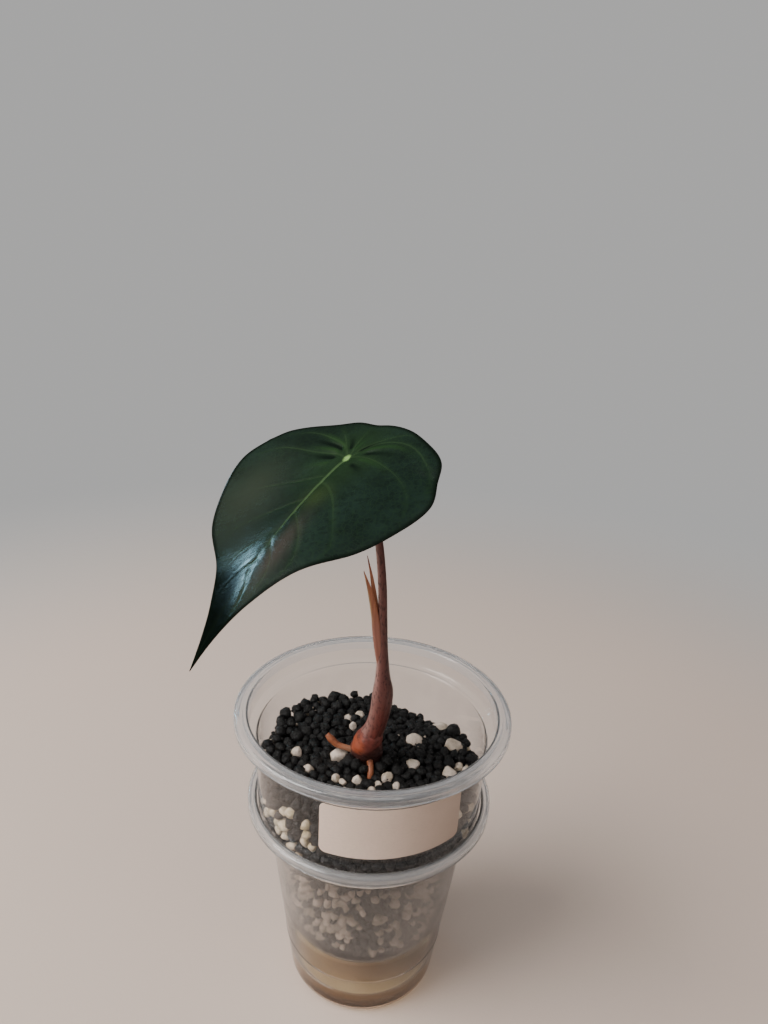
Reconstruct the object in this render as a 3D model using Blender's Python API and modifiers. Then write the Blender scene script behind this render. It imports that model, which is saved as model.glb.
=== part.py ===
# Young pink dragon alocasia in a clear planting cup that hangs in a clear water cup.
# Metres, +Z up. The cups' shared axis is Z, the base stands on z = 0 and -Y is the front.
import math
import random

import bmesh
import bpy
from mathutils import Vector, noise

OBJECT_NAME = "pink_dragon_alocasia"
SEED = 11

# Both cups
TURNED_STEPS = 48
CUP_WALL = 0.0006
ROUNDING = 0.0007
LIP_DROP = 0.0030
GAP = 0.0003

# Outer cup, which holds the water
OUTER_RIM_RADIUS = 0.04325
OUTER_RIM_TOP = 0.0794
OUTER_OPENING_RADIUS = 0.0400
OUTER_STEP_Z = 0.0721
OUTER_WALL_RADIUS = 0.0356
OUTER_BASE_RADIUS = 0.0270
OUTER_HEEL = 0.0022

# Inner cup, which holds the plant and rests on the outer cup's step
INNER_RIM_RADIUS = 0.0475
INNER_RIM_TOP = 0.1137
INNER_OPENING_RADIUS = 0.0426
INNER_STEP_Z = 0.1053
INNER_BAND_TOP_RADIUS = 0.0394
INNER_BAND_RADIUS = 0.0390
INNER_SHOULDER_Z = OUTER_STEP_Z + GAP + CUP_WALL
INNER_WALL_RADIUS = 0.0346
INNER_FLOOR_RADIUS = 0.0276
INNER_FLOOR_Z = 0.0256
DRAIN_RADIUS = 0.0022
DRAIN_RING_RADIUS = 0.0160
DRAIN_COUNT = 6
DRAIN_TURN = math.radians(33.0)

# Water in the outer cup
WATER_LEVEL = 0.0105

# Label on the inner cup, between the two rims
LABEL_WIDTH = 0.0480
LABEL_HEIGHT = 0.0190
LABEL_BOTTOM = 0.0842
LABEL_CORNER = 0.0022
LABEL_THICKNESS = 0.0003
LABEL_COLUMNS = 18
LABEL_ROWS = 4
LABEL_TURN = math.radians(12.5)

# Substrate: its top leans, higher at the left and with a dip at the back right
SOIL_TOP = 0.0938
SOIL_LEAN = 0.065
SOIL_DIP = 0.0062
SOIL_DIP_CENTRE = (0.018, 0.034)
SOIL_DIP_REACH = 0.016
SOIL_RADIUS = 0.0385
SOIL_BED_DEPTH = 0.0020
SOIL_RELIEF = 0.0011
SOIL_RELIEF_SCALE = 260.0
SOIL_RELIEF_FROM_RADIUS = 0.020
SOIL_STEPS = 30
PELLET_PITCH = 0.0058
PELLET_RADIUS = (0.0028, 0.0032)
PELLET_JITTER = 0.0006
PELLET_SINK = 0.4
PELLET_SQUASH = 0.86
# Larger pale grains that lie on top, as (x, y, radius)
PALE_GRAINS = (
    (-0.0095, -0.0030, 0.0036),
    (0.0140, 0.0030, 0.0031),
    (0.0262, 0.0000, 0.0033),
    (0.0235, -0.0115, 0.0032),
    (-0.0030, -0.0135, 0.0030),
    (0.0045, -0.0150, 0.0032),
    (-0.0225, -0.0010, 0.0030),
    (-0.0035, 0.0165, 0.0030),
)

# Stem line from the corm's foot to the foot of the leaf, as (x, y, z, radius)
STEM_LINE = (
    (-0.0030, -0.0045, 0.0800, 0.0024),
    (-0.0030, -0.0045, 0.0835, 0.0046),
    (-0.0030, -0.0046, 0.0885, 0.0060),
    (-0.0024, -0.0047, 0.0940, 0.0061),
    (-0.0020, -0.0048, 0.0985, 0.0055),
    (-0.0016, -0.0050, 0.1020, 0.0046),
    (-0.0004, -0.0050, 0.1050, 0.0039),
    (0.0012, -0.0050, 0.1085, 0.0035),
    (0.0023, -0.0050, 0.1135, 0.0035),
    (0.0029, -0.0050, 0.1190, 0.0036),
    (0.0030, -0.0050, 0.1230, 0.0034),
    (0.0027, -0.0050, 0.1275, 0.0026),
    (0.0024, -0.0050, 0.1330, 0.0021),
    (0.0021, -0.0050, 0.1400, 0.0017),
    (0.0017, -0.0050, 0.1500, 0.0015),
    (0.0010, -0.0050, 0.1620, 0.0014),
    (-0.0007, -0.0048, 0.1760, 0.0013),
    (-0.0031, -0.0044, 0.1850, 0.0013),
    (-0.0068, -0.0038, 0.1945, 0.0014),
)
CORM_POINTS = 7
CORM_TOP_Z = 0.1050
PETIOLE_NECK = 0.0035
PETIOLE_TOP_RADIUS = 0.0014

# Roots, as points (x, y, z) from inside the corm; each thins from the first radius to the second
ROOT_RADIUS = (0.0011, 0.0007)
CORM_CLEARANCE = 1.4 * GAP
ROOTS = {
    "left stub": ((-0.004, -0.0048, 0.0975), (-0.0090, -0.0046, 0.0985), (-0.0125, -0.0036, 0.0995),
                  (-0.0155, -0.0025, 0.1020)),
    "front": ((-0.001, -0.0060, 0.0970), (0.0000, -0.0110, 0.0955), (-0.0006, -0.0145, 0.0900),
              (-0.0030, -0.0180, 0.0760), (-0.0020, -0.0195, 0.0600), (0.0020, -0.0180, 0.0450)),
    "right": ((-0.001, -0.0045, 0.0880), (0.0070, -0.0030, 0.0820), (0.0150, 0.0010, 0.0700),
              (0.0200, 0.0040, 0.0560), (0.0180, 0.0050, 0.0400)),
    "back": ((-0.003, -0.0030, 0.0870), (-0.0040, 0.0050, 0.0800), (-0.0020, 0.0140, 0.0690),
             (0.0020, 0.0200, 0.0550), (0.0000, 0.0190, 0.0410)),
    "left": ((-0.004, -0.0045, 0.0860), (-0.0110, -0.0040, 0.0790), (-0.0190, 0.0000, 0.0680),
             (-0.0220, 0.0020, 0.0540), (-0.0190, 0.0010, 0.0380)),
    "tap": ((-0.003, -0.0045, 0.0840), (-0.0025, -0.0050, 0.0740), (0.0005, -0.0035, 0.0620),
            (-0.0015, -0.0015, 0.0490), (0.0010, 0.0000, 0.0340)),
}

# Pointed sheath round the next leaf, as lines of (x, y, z, radius)
YOUNG_SHEATH = (
    ((0.0004, -0.0058, 0.1345, 0.0006), (0.0003, -0.0058, 0.1400, 0.0010), (-0.0005, -0.0058, 0.1490, 0.0012),
     (-0.0024, -0.0057, 0.1580, 0.0010), (-0.0050, -0.0056, 0.1660, 0.00035)),
    ((-0.0002, -0.0046, 0.1420, 0.0008), (-0.0007, -0.0044, 0.1510, 0.0010), (-0.0020, -0.0046, 0.1615, 0.0008),
     (-0.0041, -0.0048, 0.1712, 0.0003)),
)
YOUNG_SHEATH_CLEARANCE = 0.0004

# Leaf blade: its shape when flat, then how its midrib runs and how each half bends
LEAF_FOOT = Vector((-0.0117, -0.0046, 0.2030))
LEAF_THICKNESS = 0.0008
MIDRIB_LENGTH = 0.0788
# Half outline from the notch at the back round to the tip, as (along the midrib, half width)
HALF_OUTLINE = (
    (-0.0172, 0.0000), (-0.0171, 0.0095), (-0.0127, 0.0211), (-0.0070, 0.0306), (0.0000, 0.0340), (0.0095, 0.0370),
    (0.0220, 0.0340), (0.0346, 0.0274), (0.0473, 0.0150), (0.0583, 0.0085), (0.0686, 0.0038), (0.0788, 0.0000),
)
MIDRIB_START = -0.0090
# Each pair is the value at the leaf's foot and the change from there to its tip
DESCENT = (math.radians(24.6), math.radians(9.8))
HEADING = (math.radians(231.2), math.radians(19.0))
BANK = (math.radians(-6.7), math.radians(-32.3))
FOLD_RIGHT = (math.radians(-0.9), math.radians(-0.1))
FOLD_LEFT = (math.radians(1.4), math.radians(-6.1))
CURL_RIGHT = (5.0, 11.0)
CURL_LEFT = (-8.0, -27.0)
LEAF_ROWS = 24
LEAF_COLUMNS = 12

COLOURS = {
    "outer_cup": ((0.80, 0.84, 0.86), 0.12),
    "inner_cup": ((0.84, 0.87, 0.88), 0.12),
    "water": ((0.62, 0.52, 0.38), 0.05),
    "label": ((0.86, 0.84, 0.82), 0.45),
    "substrate": ((0.022, 0.021, 0.020), 0.80),
    "corm_and_roots": ((0.28, 0.055, 0.022), 0.50),
    "petiole": ((0.17, 0.040, 0.032), 0.45),
    "young_sheath": ((0.36, 0.13, 0.035), 0.50),
    "leaf_blade": ((0.014, 0.042, 0.022), 0.35),
}


def clear_scene():
    for old in list(bpy.data.objects):
        bpy.data.objects.remove(old, do_unlink=True)


def new_collection(name):
    collection = bpy.data.collections.new(name)
    bpy.context.scene.collection.children.link(collection)
    return collection


def add_object(name, mesh, collection):
    obj = bpy.data.objects.new(name, mesh)
    collection.objects.link(obj)
    return obj


def mesh_from_bmesh(name, bm):
    mesh = bpy.data.meshes.new(name)
    bm.to_mesh(mesh)
    bm.free()
    return mesh


def give_material(obj):
    colour, roughness = COLOURS[obj.name]
    material = bpy.data.materials.new(obj.name)
    material.use_nodes = True
    shader = material.node_tree.nodes["Principled BSDF"]
    shader.inputs["Base Color"].default_value = (*colour, 1.0)
    shader.inputs["Roughness"].default_value = roughness
    shader.inputs["Metallic"].default_value = 0.0
    obj.data.materials.clear()
    obj.data.materials.append(material)


def shade_round(mesh, degrees=35):
    mesh.shade_smooth()
    mesh.set_sharp_from_angle(angle=math.radians(degrees))


def apply_modifiers(obj):
    depsgraph = bpy.context.evaluated_depsgraph_get()
    mesh = bpy.data.meshes.new_from_object(obj.evaluated_get(depsgraph))
    obj.modifiers.clear()
    obj.data = mesh


def smooth_line(points, steps):
    # Catmull-Rom curve through points of any number of values, with steps samples a span
    ends = [[2 * a - b for a, b in zip(points[0], points[1])], [2 * a - b for a, b in zip(points[-1], points[-2])]]
    knots = [ends[0], *points, ends[1]]
    line = []
    for k in range(1, len(knots) - 2):
        for j in range(steps):
            t = j / steps
            line.append([
                0.5 * (2 * b + (c - a) * t + (2 * a - 5 * b + 4 * c - d) * t * t + (3 * b - a - 3 * c + d) * t ** 3)
                for a, b, c, d in zip(knots[k - 1], knots[k], knots[k + 1], knots[k + 2])
            ])
    line.append(list(points[-1]))
    return line


def turned_object(name, profile, collection):
    # The profile runs down its outer side, so its surface faces away from the axis
    bm = bmesh.new()
    verts = [bm.verts.new((radius, 0, z)) for radius, z in profile]
    for above, below in zip(verts, verts[1:]):
        bm.edges.new((above, below))
    obj = add_object(name, mesh_from_bmesh(name, bm), collection)
    screw = obj.modifiers.new("turn", "SCREW")
    screw.axis = "Z"
    screw.angle = 2 * math.pi
    screw.steps = TURNED_STEPS
    screw.render_steps = TURNED_STEPS
    screw.use_merge_vertices = True
    screw.merge_threshold = 0.00001
    screw.use_smooth_shade = True
    return obj


def rim_profile(rim_radius, rim_top, opening_radius, seat_taper, step_z, wall_radius):
    # From the turned-down lip over the rim, down the lid seat and in over the step
    seat_radius = opening_radius - seat_taper
    return [
        (rim_radius, rim_top - LIP_DROP),
        (rim_radius, rim_top - ROUNDING),
        (rim_radius - ROUNDING, rim_top),
        (opening_radius + ROUNDING, rim_top - 0.0002),
        (opening_radius, rim_top - 0.0002 - ROUNDING),
        (seat_radius, step_z + ROUNDING),
        (seat_radius - ROUNDING, step_z),
        (wall_radius + ROUNDING, step_z),
        (wall_radius, step_z - ROUNDING),
    ]


def cup_object(name, profile, collection):
    obj = turned_object(name, profile, collection)
    shell = obj.modifiers.new("wall", "SOLIDIFY")
    shell.thickness = CUP_WALL
    shell.offset = 1.0
    shell.use_even_offset = True
    return obj


def make_outer_cup(parts):
    floor_z = CUP_WALL
    profile = rim_profile(OUTER_RIM_RADIUS, OUTER_RIM_TOP, OUTER_OPENING_RADIUS, 0.00005, OUTER_STEP_Z,
                          OUTER_WALL_RADIUS)
    profile += [
        (OUTER_BASE_RADIUS, floor_z + OUTER_HEEL),
        (OUTER_BASE_RADIUS - 0.3 * OUTER_HEEL, floor_z + 0.3 * OUTER_HEEL),
        (OUTER_BASE_RADIUS - OUTER_HEEL, floor_z),
        (0.0, floor_z),
    ]
    return cup_object("outer_cup", profile, parts)


def make_inner_cup(parts, cutters):
    profile = rim_profile(INNER_RIM_RADIUS, INNER_RIM_TOP, INNER_OPENING_RADIUS, 0.0004, INNER_STEP_Z,
                          INNER_BAND_TOP_RADIUS)
    profile += [
        (INNER_BAND_RADIUS, INNER_SHOULDER_Z + ROUNDING),
        (INNER_BAND_RADIUS - ROUNDING, INNER_SHOULDER_Z),
        (INNER_WALL_RADIUS + ROUNDING, INNER_SHOULDER_Z),
        (INNER_WALL_RADIUS, INNER_SHOULDER_Z - ROUNDING),
        (INNER_FLOOR_RADIUS, INNER_FLOOR_Z + 2 * ROUNDING),
        (INNER_FLOOR_RADIUS - 2 * ROUNDING, INNER_FLOOR_Z),
        (0.0, INNER_FLOOR_Z),
    ]
    cup = cup_object("inner_cup", profile, parts)
    for k in range(DRAIN_COUNT):
        angle = DRAIN_TURN + 2 * math.pi * k / DRAIN_COUNT
        bm = bmesh.new()
        bmesh.ops.create_cone(bm, cap_ends=True, segments=10, radius1=DRAIN_RADIUS, radius2=DRAIN_RADIUS,
                              depth=6 * CUP_WALL)
        drain = add_object(f"drain_{k + 1}", mesh_from_bmesh("drain", bm), cutters)
        drain.location = (DRAIN_RING_RADIUS * math.cos(angle), DRAIN_RING_RADIUS * math.sin(angle), INNER_FLOOR_Z)
        hide_cutter(drain)
        cut_with(cup, drain)
    return cup


def hide_cutter(obj):
    obj.hide_render = True
    obj.display_type = "WIRE"


def cut_with(obj, cutter, solver="EXACT"):
    cut = obj.modifiers.new("cut", "BOOLEAN")
    cut.operation = "DIFFERENCE"
    cut.object = cutter
    cut.solver = solver


def make_water(parts):
    floor_z = CUP_WALL + GAP
    slope = (OUTER_WALL_RADIUS - OUTER_BASE_RADIUS) / (OUTER_STEP_Z - ROUNDING - CUP_WALL - OUTER_HEEL)
    top_radius = OUTER_BASE_RADIUS + slope * (WATER_LEVEL - CUP_WALL - OUTER_HEEL) - GAP
    profile = [
        (0.0, WATER_LEVEL),
        (top_radius, WATER_LEVEL),
        (OUTER_BASE_RADIUS - 1.1 * GAP, CUP_WALL + OUTER_HEEL),
        (OUTER_BASE_RADIUS - 0.3 * OUTER_HEEL - GAP, floor_z + 0.3 * OUTER_HEEL),
        (OUTER_BASE_RADIUS - OUTER_HEEL - 0.5 * GAP, floor_z),
        (0.0, floor_z),
    ]
    return turned_object("water", profile, parts)


def make_label(parts):
    # A grid in the label's own flat shape, laid round the cup's slightly tapered band
    bm = bmesh.new()
    bmesh.ops.create_grid(bm, x_segments=LABEL_COLUMNS, y_segments=LABEL_ROWS, size=1.0)
    taper = (INNER_BAND_TOP_RADIUS - INNER_BAND_RADIUS) / (INNER_STEP_Z - INNER_SHOULDER_Z)
    for vert in bm.verts:
        side = vert.co.x * LABEL_WIDTH / 2
        into_corner = max(0.0, abs(side) - (LABEL_WIDTH / 2 - LABEL_CORNER))
        corner_drop = LABEL_CORNER - math.sqrt(max(LABEL_CORNER ** 2 - into_corner ** 2, 0.0))
        height = vert.co.y * (LABEL_HEIGHT / 2 - corner_drop)
        z = LABEL_BOTTOM + LABEL_HEIGHT / 2 + height
        radius = INNER_BAND_RADIUS + taper * (z - INNER_SHOULDER_Z) + CUP_WALL + GAP
        angle = LABEL_TURN + side / radius
        vert.co = (radius * math.sin(angle), -radius * math.cos(angle), z)
    obj = add_object("label", mesh_from_bmesh("label", bm), parts)
    sheet = obj.modifiers.new("sheet", "SOLIDIFY")
    sheet.thickness = LABEL_THICKNESS
    sheet.offset = 1.0
    sheet.use_even_offset = True
    return obj


def soil_height(x, y):
    dip = math.exp(-((x - SOIL_DIP_CENTRE[0]) ** 2 + (y - SOIL_DIP_CENTRE[1]) ** 2) / SOIL_DIP_REACH ** 2)
    return SOIL_TOP - SOIL_LEAN * x - SOIL_DIP * dip


def soil_core():
    shoulder_z = INNER_SHOULDER_Z + GAP
    profile = [(0.0, SOIL_TOP)]
    profile += [(SOIL_RADIUS * k / 6, SOIL_TOP) for k in range(1, 7)]
    side_rows = 4
    side_foot = shoulder_z + 2 * ROUNDING
    for k in range(1, side_rows + 1):
        profile.append((SOIL_RADIUS, SOIL_TOP + (side_foot - SOIL_TOP) * k / side_rows))
    profile.append((SOIL_RADIUS - ROUNDING, shoulder_z))
    profile.append((INNER_WALL_RADIUS, shoulder_z))
    wall_rows = 7
    top = (INNER_WALL_RADIUS - 2 * GAP, INNER_SHOULDER_Z - ROUNDING)
    foot = (INNER_FLOOR_RADIUS - 2 * GAP, INNER_FLOOR_Z + 2 * ROUNDING)
    for k in range(wall_rows + 1):
        share = k / wall_rows
        profile.append((top[0] + (foot[0] - top[0]) * share, top[1] + (foot[1] - top[1]) * share))
    profile.append((foot[0] - 2 * ROUNDING, INNER_FLOOR_Z + GAP))
    profile.append((0.0, INNER_FLOOR_Z + GAP))
    bm = bmesh.new()
    verts = [bm.verts.new((radius, 0, z)) for radius, z in profile]
    edges = [bm.edges.new(pair) for pair in zip(verts, verts[1:])]
    bmesh.ops.spin(bm, geom=verts + edges, cent=(0, 0, 0), axis=(0, 0, 1), angle=2 * math.pi, steps=SOIL_STEPS,
                   use_merge=True)
    bmesh.ops.remove_doubles(bm, verts=bm.verts, dist=0.00001)
    bmesh.ops.recalc_face_normals(bm, faces=bm.faces)
    for vert in bm.verts:
        x, y, z = vert.co
        radius = math.hypot(x, y)
        if z > side_foot:
            share = (z - side_foot) / (SOIL_TOP - side_foot)
            vert.co.z = side_foot + share * (soil_height(x, y) - SOIL_BED_DEPTH - side_foot)
        if z < SOIL_TOP and radius > SOIL_RELIEF_FROM_RADIUS:
            # Grains pressed against the wall show as a relief that only goes inward
            dent = SOIL_RELIEF * (0.5 + 0.5 * noise.noise(vert.co * SOIL_RELIEF_SCALE))
            vert.co.x -= dent * x / radius
            vert.co.y -= dent * y / radius
    return bm


def pellet_places(rng):
    places = list(PALE_GRAINS)
    row_pitch = PELLET_PITCH * math.sin(math.radians(60))
    rows = int(SOIL_RADIUS / row_pitch) + 1
    for row in range(-rows, rows + 1):
        for column in range(-rows, rows + 1):
            x = PELLET_PITCH * (column + 0.5 * (row % 2)) + rng.uniform(-PELLET_JITTER, PELLET_JITTER)
            y = row_pitch * row + rng.uniform(-PELLET_JITTER, PELLET_JITTER)
            radius = rng.uniform(*PELLET_RADIUS)
            crowded = any(math.hypot(x - px, y - py) < pr + radius for px, py, pr in PALE_GRAINS)
            if math.hypot(x, y) + radius > SOIL_RADIUS or crowded:
                continue
            places.append((x, y, radius))
    return places


def keep_largest_body(obj):
    bm = bmesh.new()
    bm.from_mesh(obj.data)
    left = set(bm.verts)
    bodies = []
    while left:
        reached = {left.pop()}
        edge_of_search = list(reached)
        while edge_of_search:
            vert = edge_of_search.pop()
            for edge in vert.link_edges:
                other = edge.other_vert(vert)
                if other not in reached:
                    reached.add(other)
                    edge_of_search.append(other)
        left -= reached
        bodies.append(reached)
    bodies.sort(key=len)
    for body in bodies[:-1]:
        bmesh.ops.delete(bm, geom=list(body), context="VERTS")
    bm.to_mesh(obj.data)
    bm.free()


def make_substrate(parts, holes):
    rng = random.Random(SEED)
    bed = add_object("substrate", mesh_from_bmesh("substrate", soil_core()), parts)
    pellets = new_collection("pellets")
    for x, y, radius in pellet_places(rng):
        bm = bmesh.new()
        bmesh.ops.create_icosphere(bm, subdivisions=1, radius=radius)
        pellet = add_object("pellet", mesh_from_bmesh("pellet", bm), pellets)
        pellet.location = (x, y, soil_height(x, y) - PELLET_SINK * radius)
        pellet.rotation_euler = [rng.uniform(0, math.pi) for _ in range(3)]
        pellet.scale = (1.0, rng.uniform(PELLET_SQUASH, 1.0), rng.uniform(PELLET_SQUASH, 1.0))
    fuse = bed.modifiers.new("fuse", "BOOLEAN")
    fuse.operation = "UNION"
    fuse.operand_type = "COLLECTION"
    fuse.collection = pellets
    fuse.solver = "MANIFOLD"
    bpy.context.view_layer.update()
    apply_modifiers(bed)
    for pellet in list(pellets.objects):
        bpy.data.objects.remove(pellet, do_unlink=True)
    bpy.data.collections.remove(pellets)
    cut_with(bed, holes, "MANIFOLD")
    bpy.context.view_layer.update()
    apply_modifiers(bed)
    keep_largest_body(bed)
    return bed


def tube_object(name, line, collection, bevel_resolution=2):
    # A tube through points of (x, y, z, radius), as a mesh with welded caps
    curve = bpy.data.curves.new(name, "CURVE")
    curve.dimensions = "3D"
    curve.bevel_depth = 1.0
    curve.bevel_resolution = bevel_resolution
    curve.use_fill_caps = True
    spline = curve.splines.new("POLY")
    spline.points.add(len(line) - 1)
    for point, (x, y, z, radius) in zip(spline.points, line):
        point.co = (x, y, z, 1.0)
        point.radius = radius
    guide = add_object(name + "_line", curve, collection)
    bpy.context.view_layer.update()
    depsgraph = bpy.context.evaluated_depsgraph_get()
    mesh = bpy.data.meshes.new_from_object(guide.evaluated_get(depsgraph))
    bm = bmesh.new()
    bm.from_mesh(mesh)
    bmesh.ops.remove_doubles(bm, verts=bm.verts, dist=0.000001)
    bmesh.ops.recalc_face_normals(bm, faces=bm.faces)
    bm.to_mesh(mesh)
    bm.free()
    mesh.name = name
    obj = add_object(name, mesh, collection)
    obj.matrix_world = guide.matrix_world
    bpy.data.objects.remove(guide, do_unlink=True)
    return obj


def fused_tubes(name, lines, collection, bevel_resolution=2):
    # The first line's tube, with the others joined to it by one union
    body = tube_object(name, lines[0], collection, bevel_resolution)
    others = new_collection(name + "_branches")
    for line in lines[1:]:
        tube_object(name + "_branch", line, others)
    fuse = body.modifiers.new("fuse", "BOOLEAN")
    fuse.operation = "UNION"
    fuse.operand_type = "COLLECTION"
    fuse.collection = others
    fuse.solver = "EXACT"
    bpy.context.view_layer.update()
    apply_modifiers(body)
    for branch in list(others.objects):
        bpy.data.objects.remove(branch, do_unlink=True)
    bpy.data.collections.remove(others)
    return body


def corm_lines(extra):
    # Every radius grows by extra, which gives the same shape as a cutter with a clearance
    corm = smooth_line(STEM_LINE[:CORM_POINTS], 2)
    corm[-1][2] = CORM_TOP_Z - GAP / 2
    corm[0][2] -= extra
    lines = [[(x, y, z, radius + extra) for x, y, z, radius in corm]]
    for points in ROOTS.values():
        route = smooth_line(points, 2)
        route[-1][2] -= extra
        lines.append([
            (x, y, z, ROOT_RADIUS[0] + (ROOT_RADIUS[1] - ROOT_RADIUS[0]) * k / (len(route) - 1) + extra)
            for k, (x, y, z) in enumerate(route)
        ])
    return lines


def make_corm(parts):
    return fused_tubes("corm_and_roots", corm_lines(0.0), parts, 3)


def make_corm_cutter(cutters):
    cutter = fused_tubes("corm_clearance", corm_lines(CORM_CLEARANCE), cutters, 3)
    hide_cutter(cutter)
    return cutter


def petiole_line(extra):
    # The last points turn into the blade's own normal, so the end lies flat under the leaf
    foot_normal = leaf_frames()[0]["normal"]
    under = LEAF_THICKNESS + GAP
    points = list(STEM_LINE[CORM_POINTS - 1:])
    for depth in (PETIOLE_NECK, 0.0):
        place = LEAF_FOOT - foot_normal * (under + depth)
        points.append((*place, PETIOLE_TOP_RADIUS))
    line = smooth_line(points, 2)
    line[0][2] = CORM_TOP_Z + GAP / 2
    return [(x, y, z, radius + extra) for x, y, z, radius in line]


def make_petiole(parts):
    return tube_object("petiole", petiole_line(0.0), parts, 3)


def make_young_sheath(parts, cutters):
    lines = [smooth_line(points, 2) for points in YOUNG_SHEATH]
    sheath = fused_tubes("young_sheath", lines, parts)
    clearance = tube_object("petiole_clearance", petiole_line(YOUNG_SHEATH_CLEARANCE), cutters, 3)
    hide_cutter(clearance)
    cut_with(sheath, clearance)
    bpy.context.view_layer.update()
    apply_modifiers(sheath)
    keep_largest_body(sheath)
    return sheath


def leaf_frames(step=0.0005):
    # Place and axes of the midrib, from the leaf's foot to its tip
    frames = []
    place = LEAF_FOOT.copy()
    count = round(MIDRIB_LENGTH / step)
    for k in range(count + 1):
        share = k / count
        descent = DESCENT[0] + DESCENT[1] * share
        heading = HEADING[0] + HEADING[1] * share
        bank = BANK[0] + BANK[1] * share
        level = math.cos(descent)
        along = Vector((level * math.cos(heading), level * math.sin(heading), -math.sin(descent)))
        flat_right = along.cross(Vector((0, 0, 1))).normalized()
        flat_normal = flat_right.cross(along)
        right = math.cos(bank) * flat_right + math.sin(bank) * flat_normal
        frames.append({"place": place.copy(), "along": along, "right": right, "normal": right.cross(along)})
        place += along * (MIDRIB_LENGTH / count)
    return frames


def leaf_point(frames, along, across):
    # across is positive on the right of the midrib, seen from the foot towards the tip
    share = along / MIDRIB_LENGTH
    frame = frames[round(min(max(share, 0.0), 1.0) * (len(frames) - 1))]
    place = frame["place"].copy()
    if along < 0:
        place += frame["along"] * along
    fold, curl = (FOLD_RIGHT, CURL_RIGHT) if across > 0 else (FOLD_LEFT, CURL_LEFT)
    start = fold[0] + fold[1] * share
    rate = curl[0] + curl[1] * share
    end = start + rate * abs(across)
    level = (math.sin(end) - math.sin(start)) / rate
    rise = (math.cos(start) - math.cos(end)) / rate
    return place + frame["right"] * math.copysign(level, across) + frame["normal"] * rise


def make_leaf_blade(parts):
    # A grid whose rows fan from the midrib out to the outline, left and right alike
    frames = leaf_frames()
    edge = smooth_line(HALF_OUTLINE, 8)
    bm = bmesh.new()
    bmesh.ops.create_grid(bm, x_segments=LEAF_COLUMNS, y_segments=LEAF_ROWS, size=0.5)
    for vert in bm.verts:
        share = vert.co.y + 0.5
        out = vert.co.x * 2
        rim_along, rim_across = edge[round(share * (len(edge) - 1))]
        root = MIDRIB_START + (MIDRIB_LENGTH - MIDRIB_START) * share
        along = root + (rim_along - root) * abs(out)
        vert.co = leaf_point(frames, along, max(rim_across, 0.0) * out)
    bmesh.ops.remove_doubles(bm, verts=bm.verts, dist=0.00005)
    bmesh.ops.triangulate(bm, faces=bm.faces)
    bmesh.ops.recalc_face_normals(bm, faces=bm.faces)
    facing = sum((face.normal * face.calc_area() for face in bm.faces), Vector())
    if facing.z < 0:
        bmesh.ops.reverse_faces(bm, faces=bm.faces)
    obj = add_object("leaf_blade", mesh_from_bmesh("leaf_blade", bm), parts)
    blade = obj.modifiers.new("blade", "SOLIDIFY")
    blade.thickness = LEAF_THICKNESS
    blade.offset = -1.0
    return obj


def main():
    clear_scene()
    parts = new_collection(OBJECT_NAME)
    cutters = new_collection("cutters")
    root_holes = make_corm_cutter(cutters)
    pieces = [
        make_outer_cup(parts),
        make_inner_cup(parts, cutters),
        make_water(parts),
        make_label(parts),
        make_substrate(parts, root_holes),
        make_corm(parts),
        make_petiole(parts),
        make_young_sheath(parts, cutters),
        make_leaf_blade(parts),
    ]
    for piece in pieces:
        give_material(piece)
        shade_round(piece.data)


main()
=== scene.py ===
import math
import random

import bmesh
import bpy
import numpy as np
from mathutils import Matrix, Vector, noise


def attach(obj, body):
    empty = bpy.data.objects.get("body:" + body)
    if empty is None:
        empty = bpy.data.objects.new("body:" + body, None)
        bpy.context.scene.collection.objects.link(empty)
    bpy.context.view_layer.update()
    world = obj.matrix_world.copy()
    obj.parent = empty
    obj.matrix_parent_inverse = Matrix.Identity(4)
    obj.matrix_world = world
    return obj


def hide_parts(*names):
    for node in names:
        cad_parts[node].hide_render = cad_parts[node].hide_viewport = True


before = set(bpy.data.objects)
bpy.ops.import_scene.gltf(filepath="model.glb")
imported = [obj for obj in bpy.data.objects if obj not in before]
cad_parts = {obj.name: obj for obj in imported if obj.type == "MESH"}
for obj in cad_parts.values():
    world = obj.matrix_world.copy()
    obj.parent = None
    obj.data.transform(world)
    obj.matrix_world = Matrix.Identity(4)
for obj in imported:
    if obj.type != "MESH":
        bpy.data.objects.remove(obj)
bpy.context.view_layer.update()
rng = random.Random(23)  # every draw comes from this one, in the order of the pieces below
noise.seed_set(23)  # or the offsets of noise_vector come from the clock
fullTurn = 2 * math.pi
print("frame loaded:", ", ".join(sorted(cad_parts)))


def linkNew(name, data):
    thing = bpy.data.objects.new(name, data)
    bpy.context.scene.collection.objects.link(thing)
    return thing


def addPiece(name, verts, faces, material=None, smooth=True):
    mesh = bpy.data.meshes.new(name)
    mesh.from_pydata([tuple(v) for v in verts], [], [tuple(f) for f in faces])
    mesh.update()
    if smooth:
        mesh.shade_smooth()
    if material:
        mesh.materials.append(material)
    return linkNew(name, mesh)


def standIn(piece, node):
    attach(piece, "root")
    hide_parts(node)
    triangles = sum(len(face.vertices) - 2 for face in piece.data.polygons)
    print(f"  {piece.name}: {triangles} triangles for {node}")


def addFloats(piece, name, values):
    layer = piece.data.attributes.new(name, "FLOAT", "POINT")
    layer.data.foreach_set("value", np.asarray(values, dtype=np.float32))


def faceOutward(piece, weld=0.0):
    bm = bmesh.new()
    bm.from_mesh(piece.data)
    if weld:
        bmesh.ops.remove_doubles(bm, verts=bm.verts, dist=weld)
    bmesh.ops.recalc_face_normals(bm, faces=bm.faces)
    bm.to_mesh(piece.data)
    bm.free()
    return piece


def inMetres(rows):
    # from millimetres, to the nearest micrometre
    return np.round(np.array(rows, dtype=float) / 1000, 6)


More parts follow.
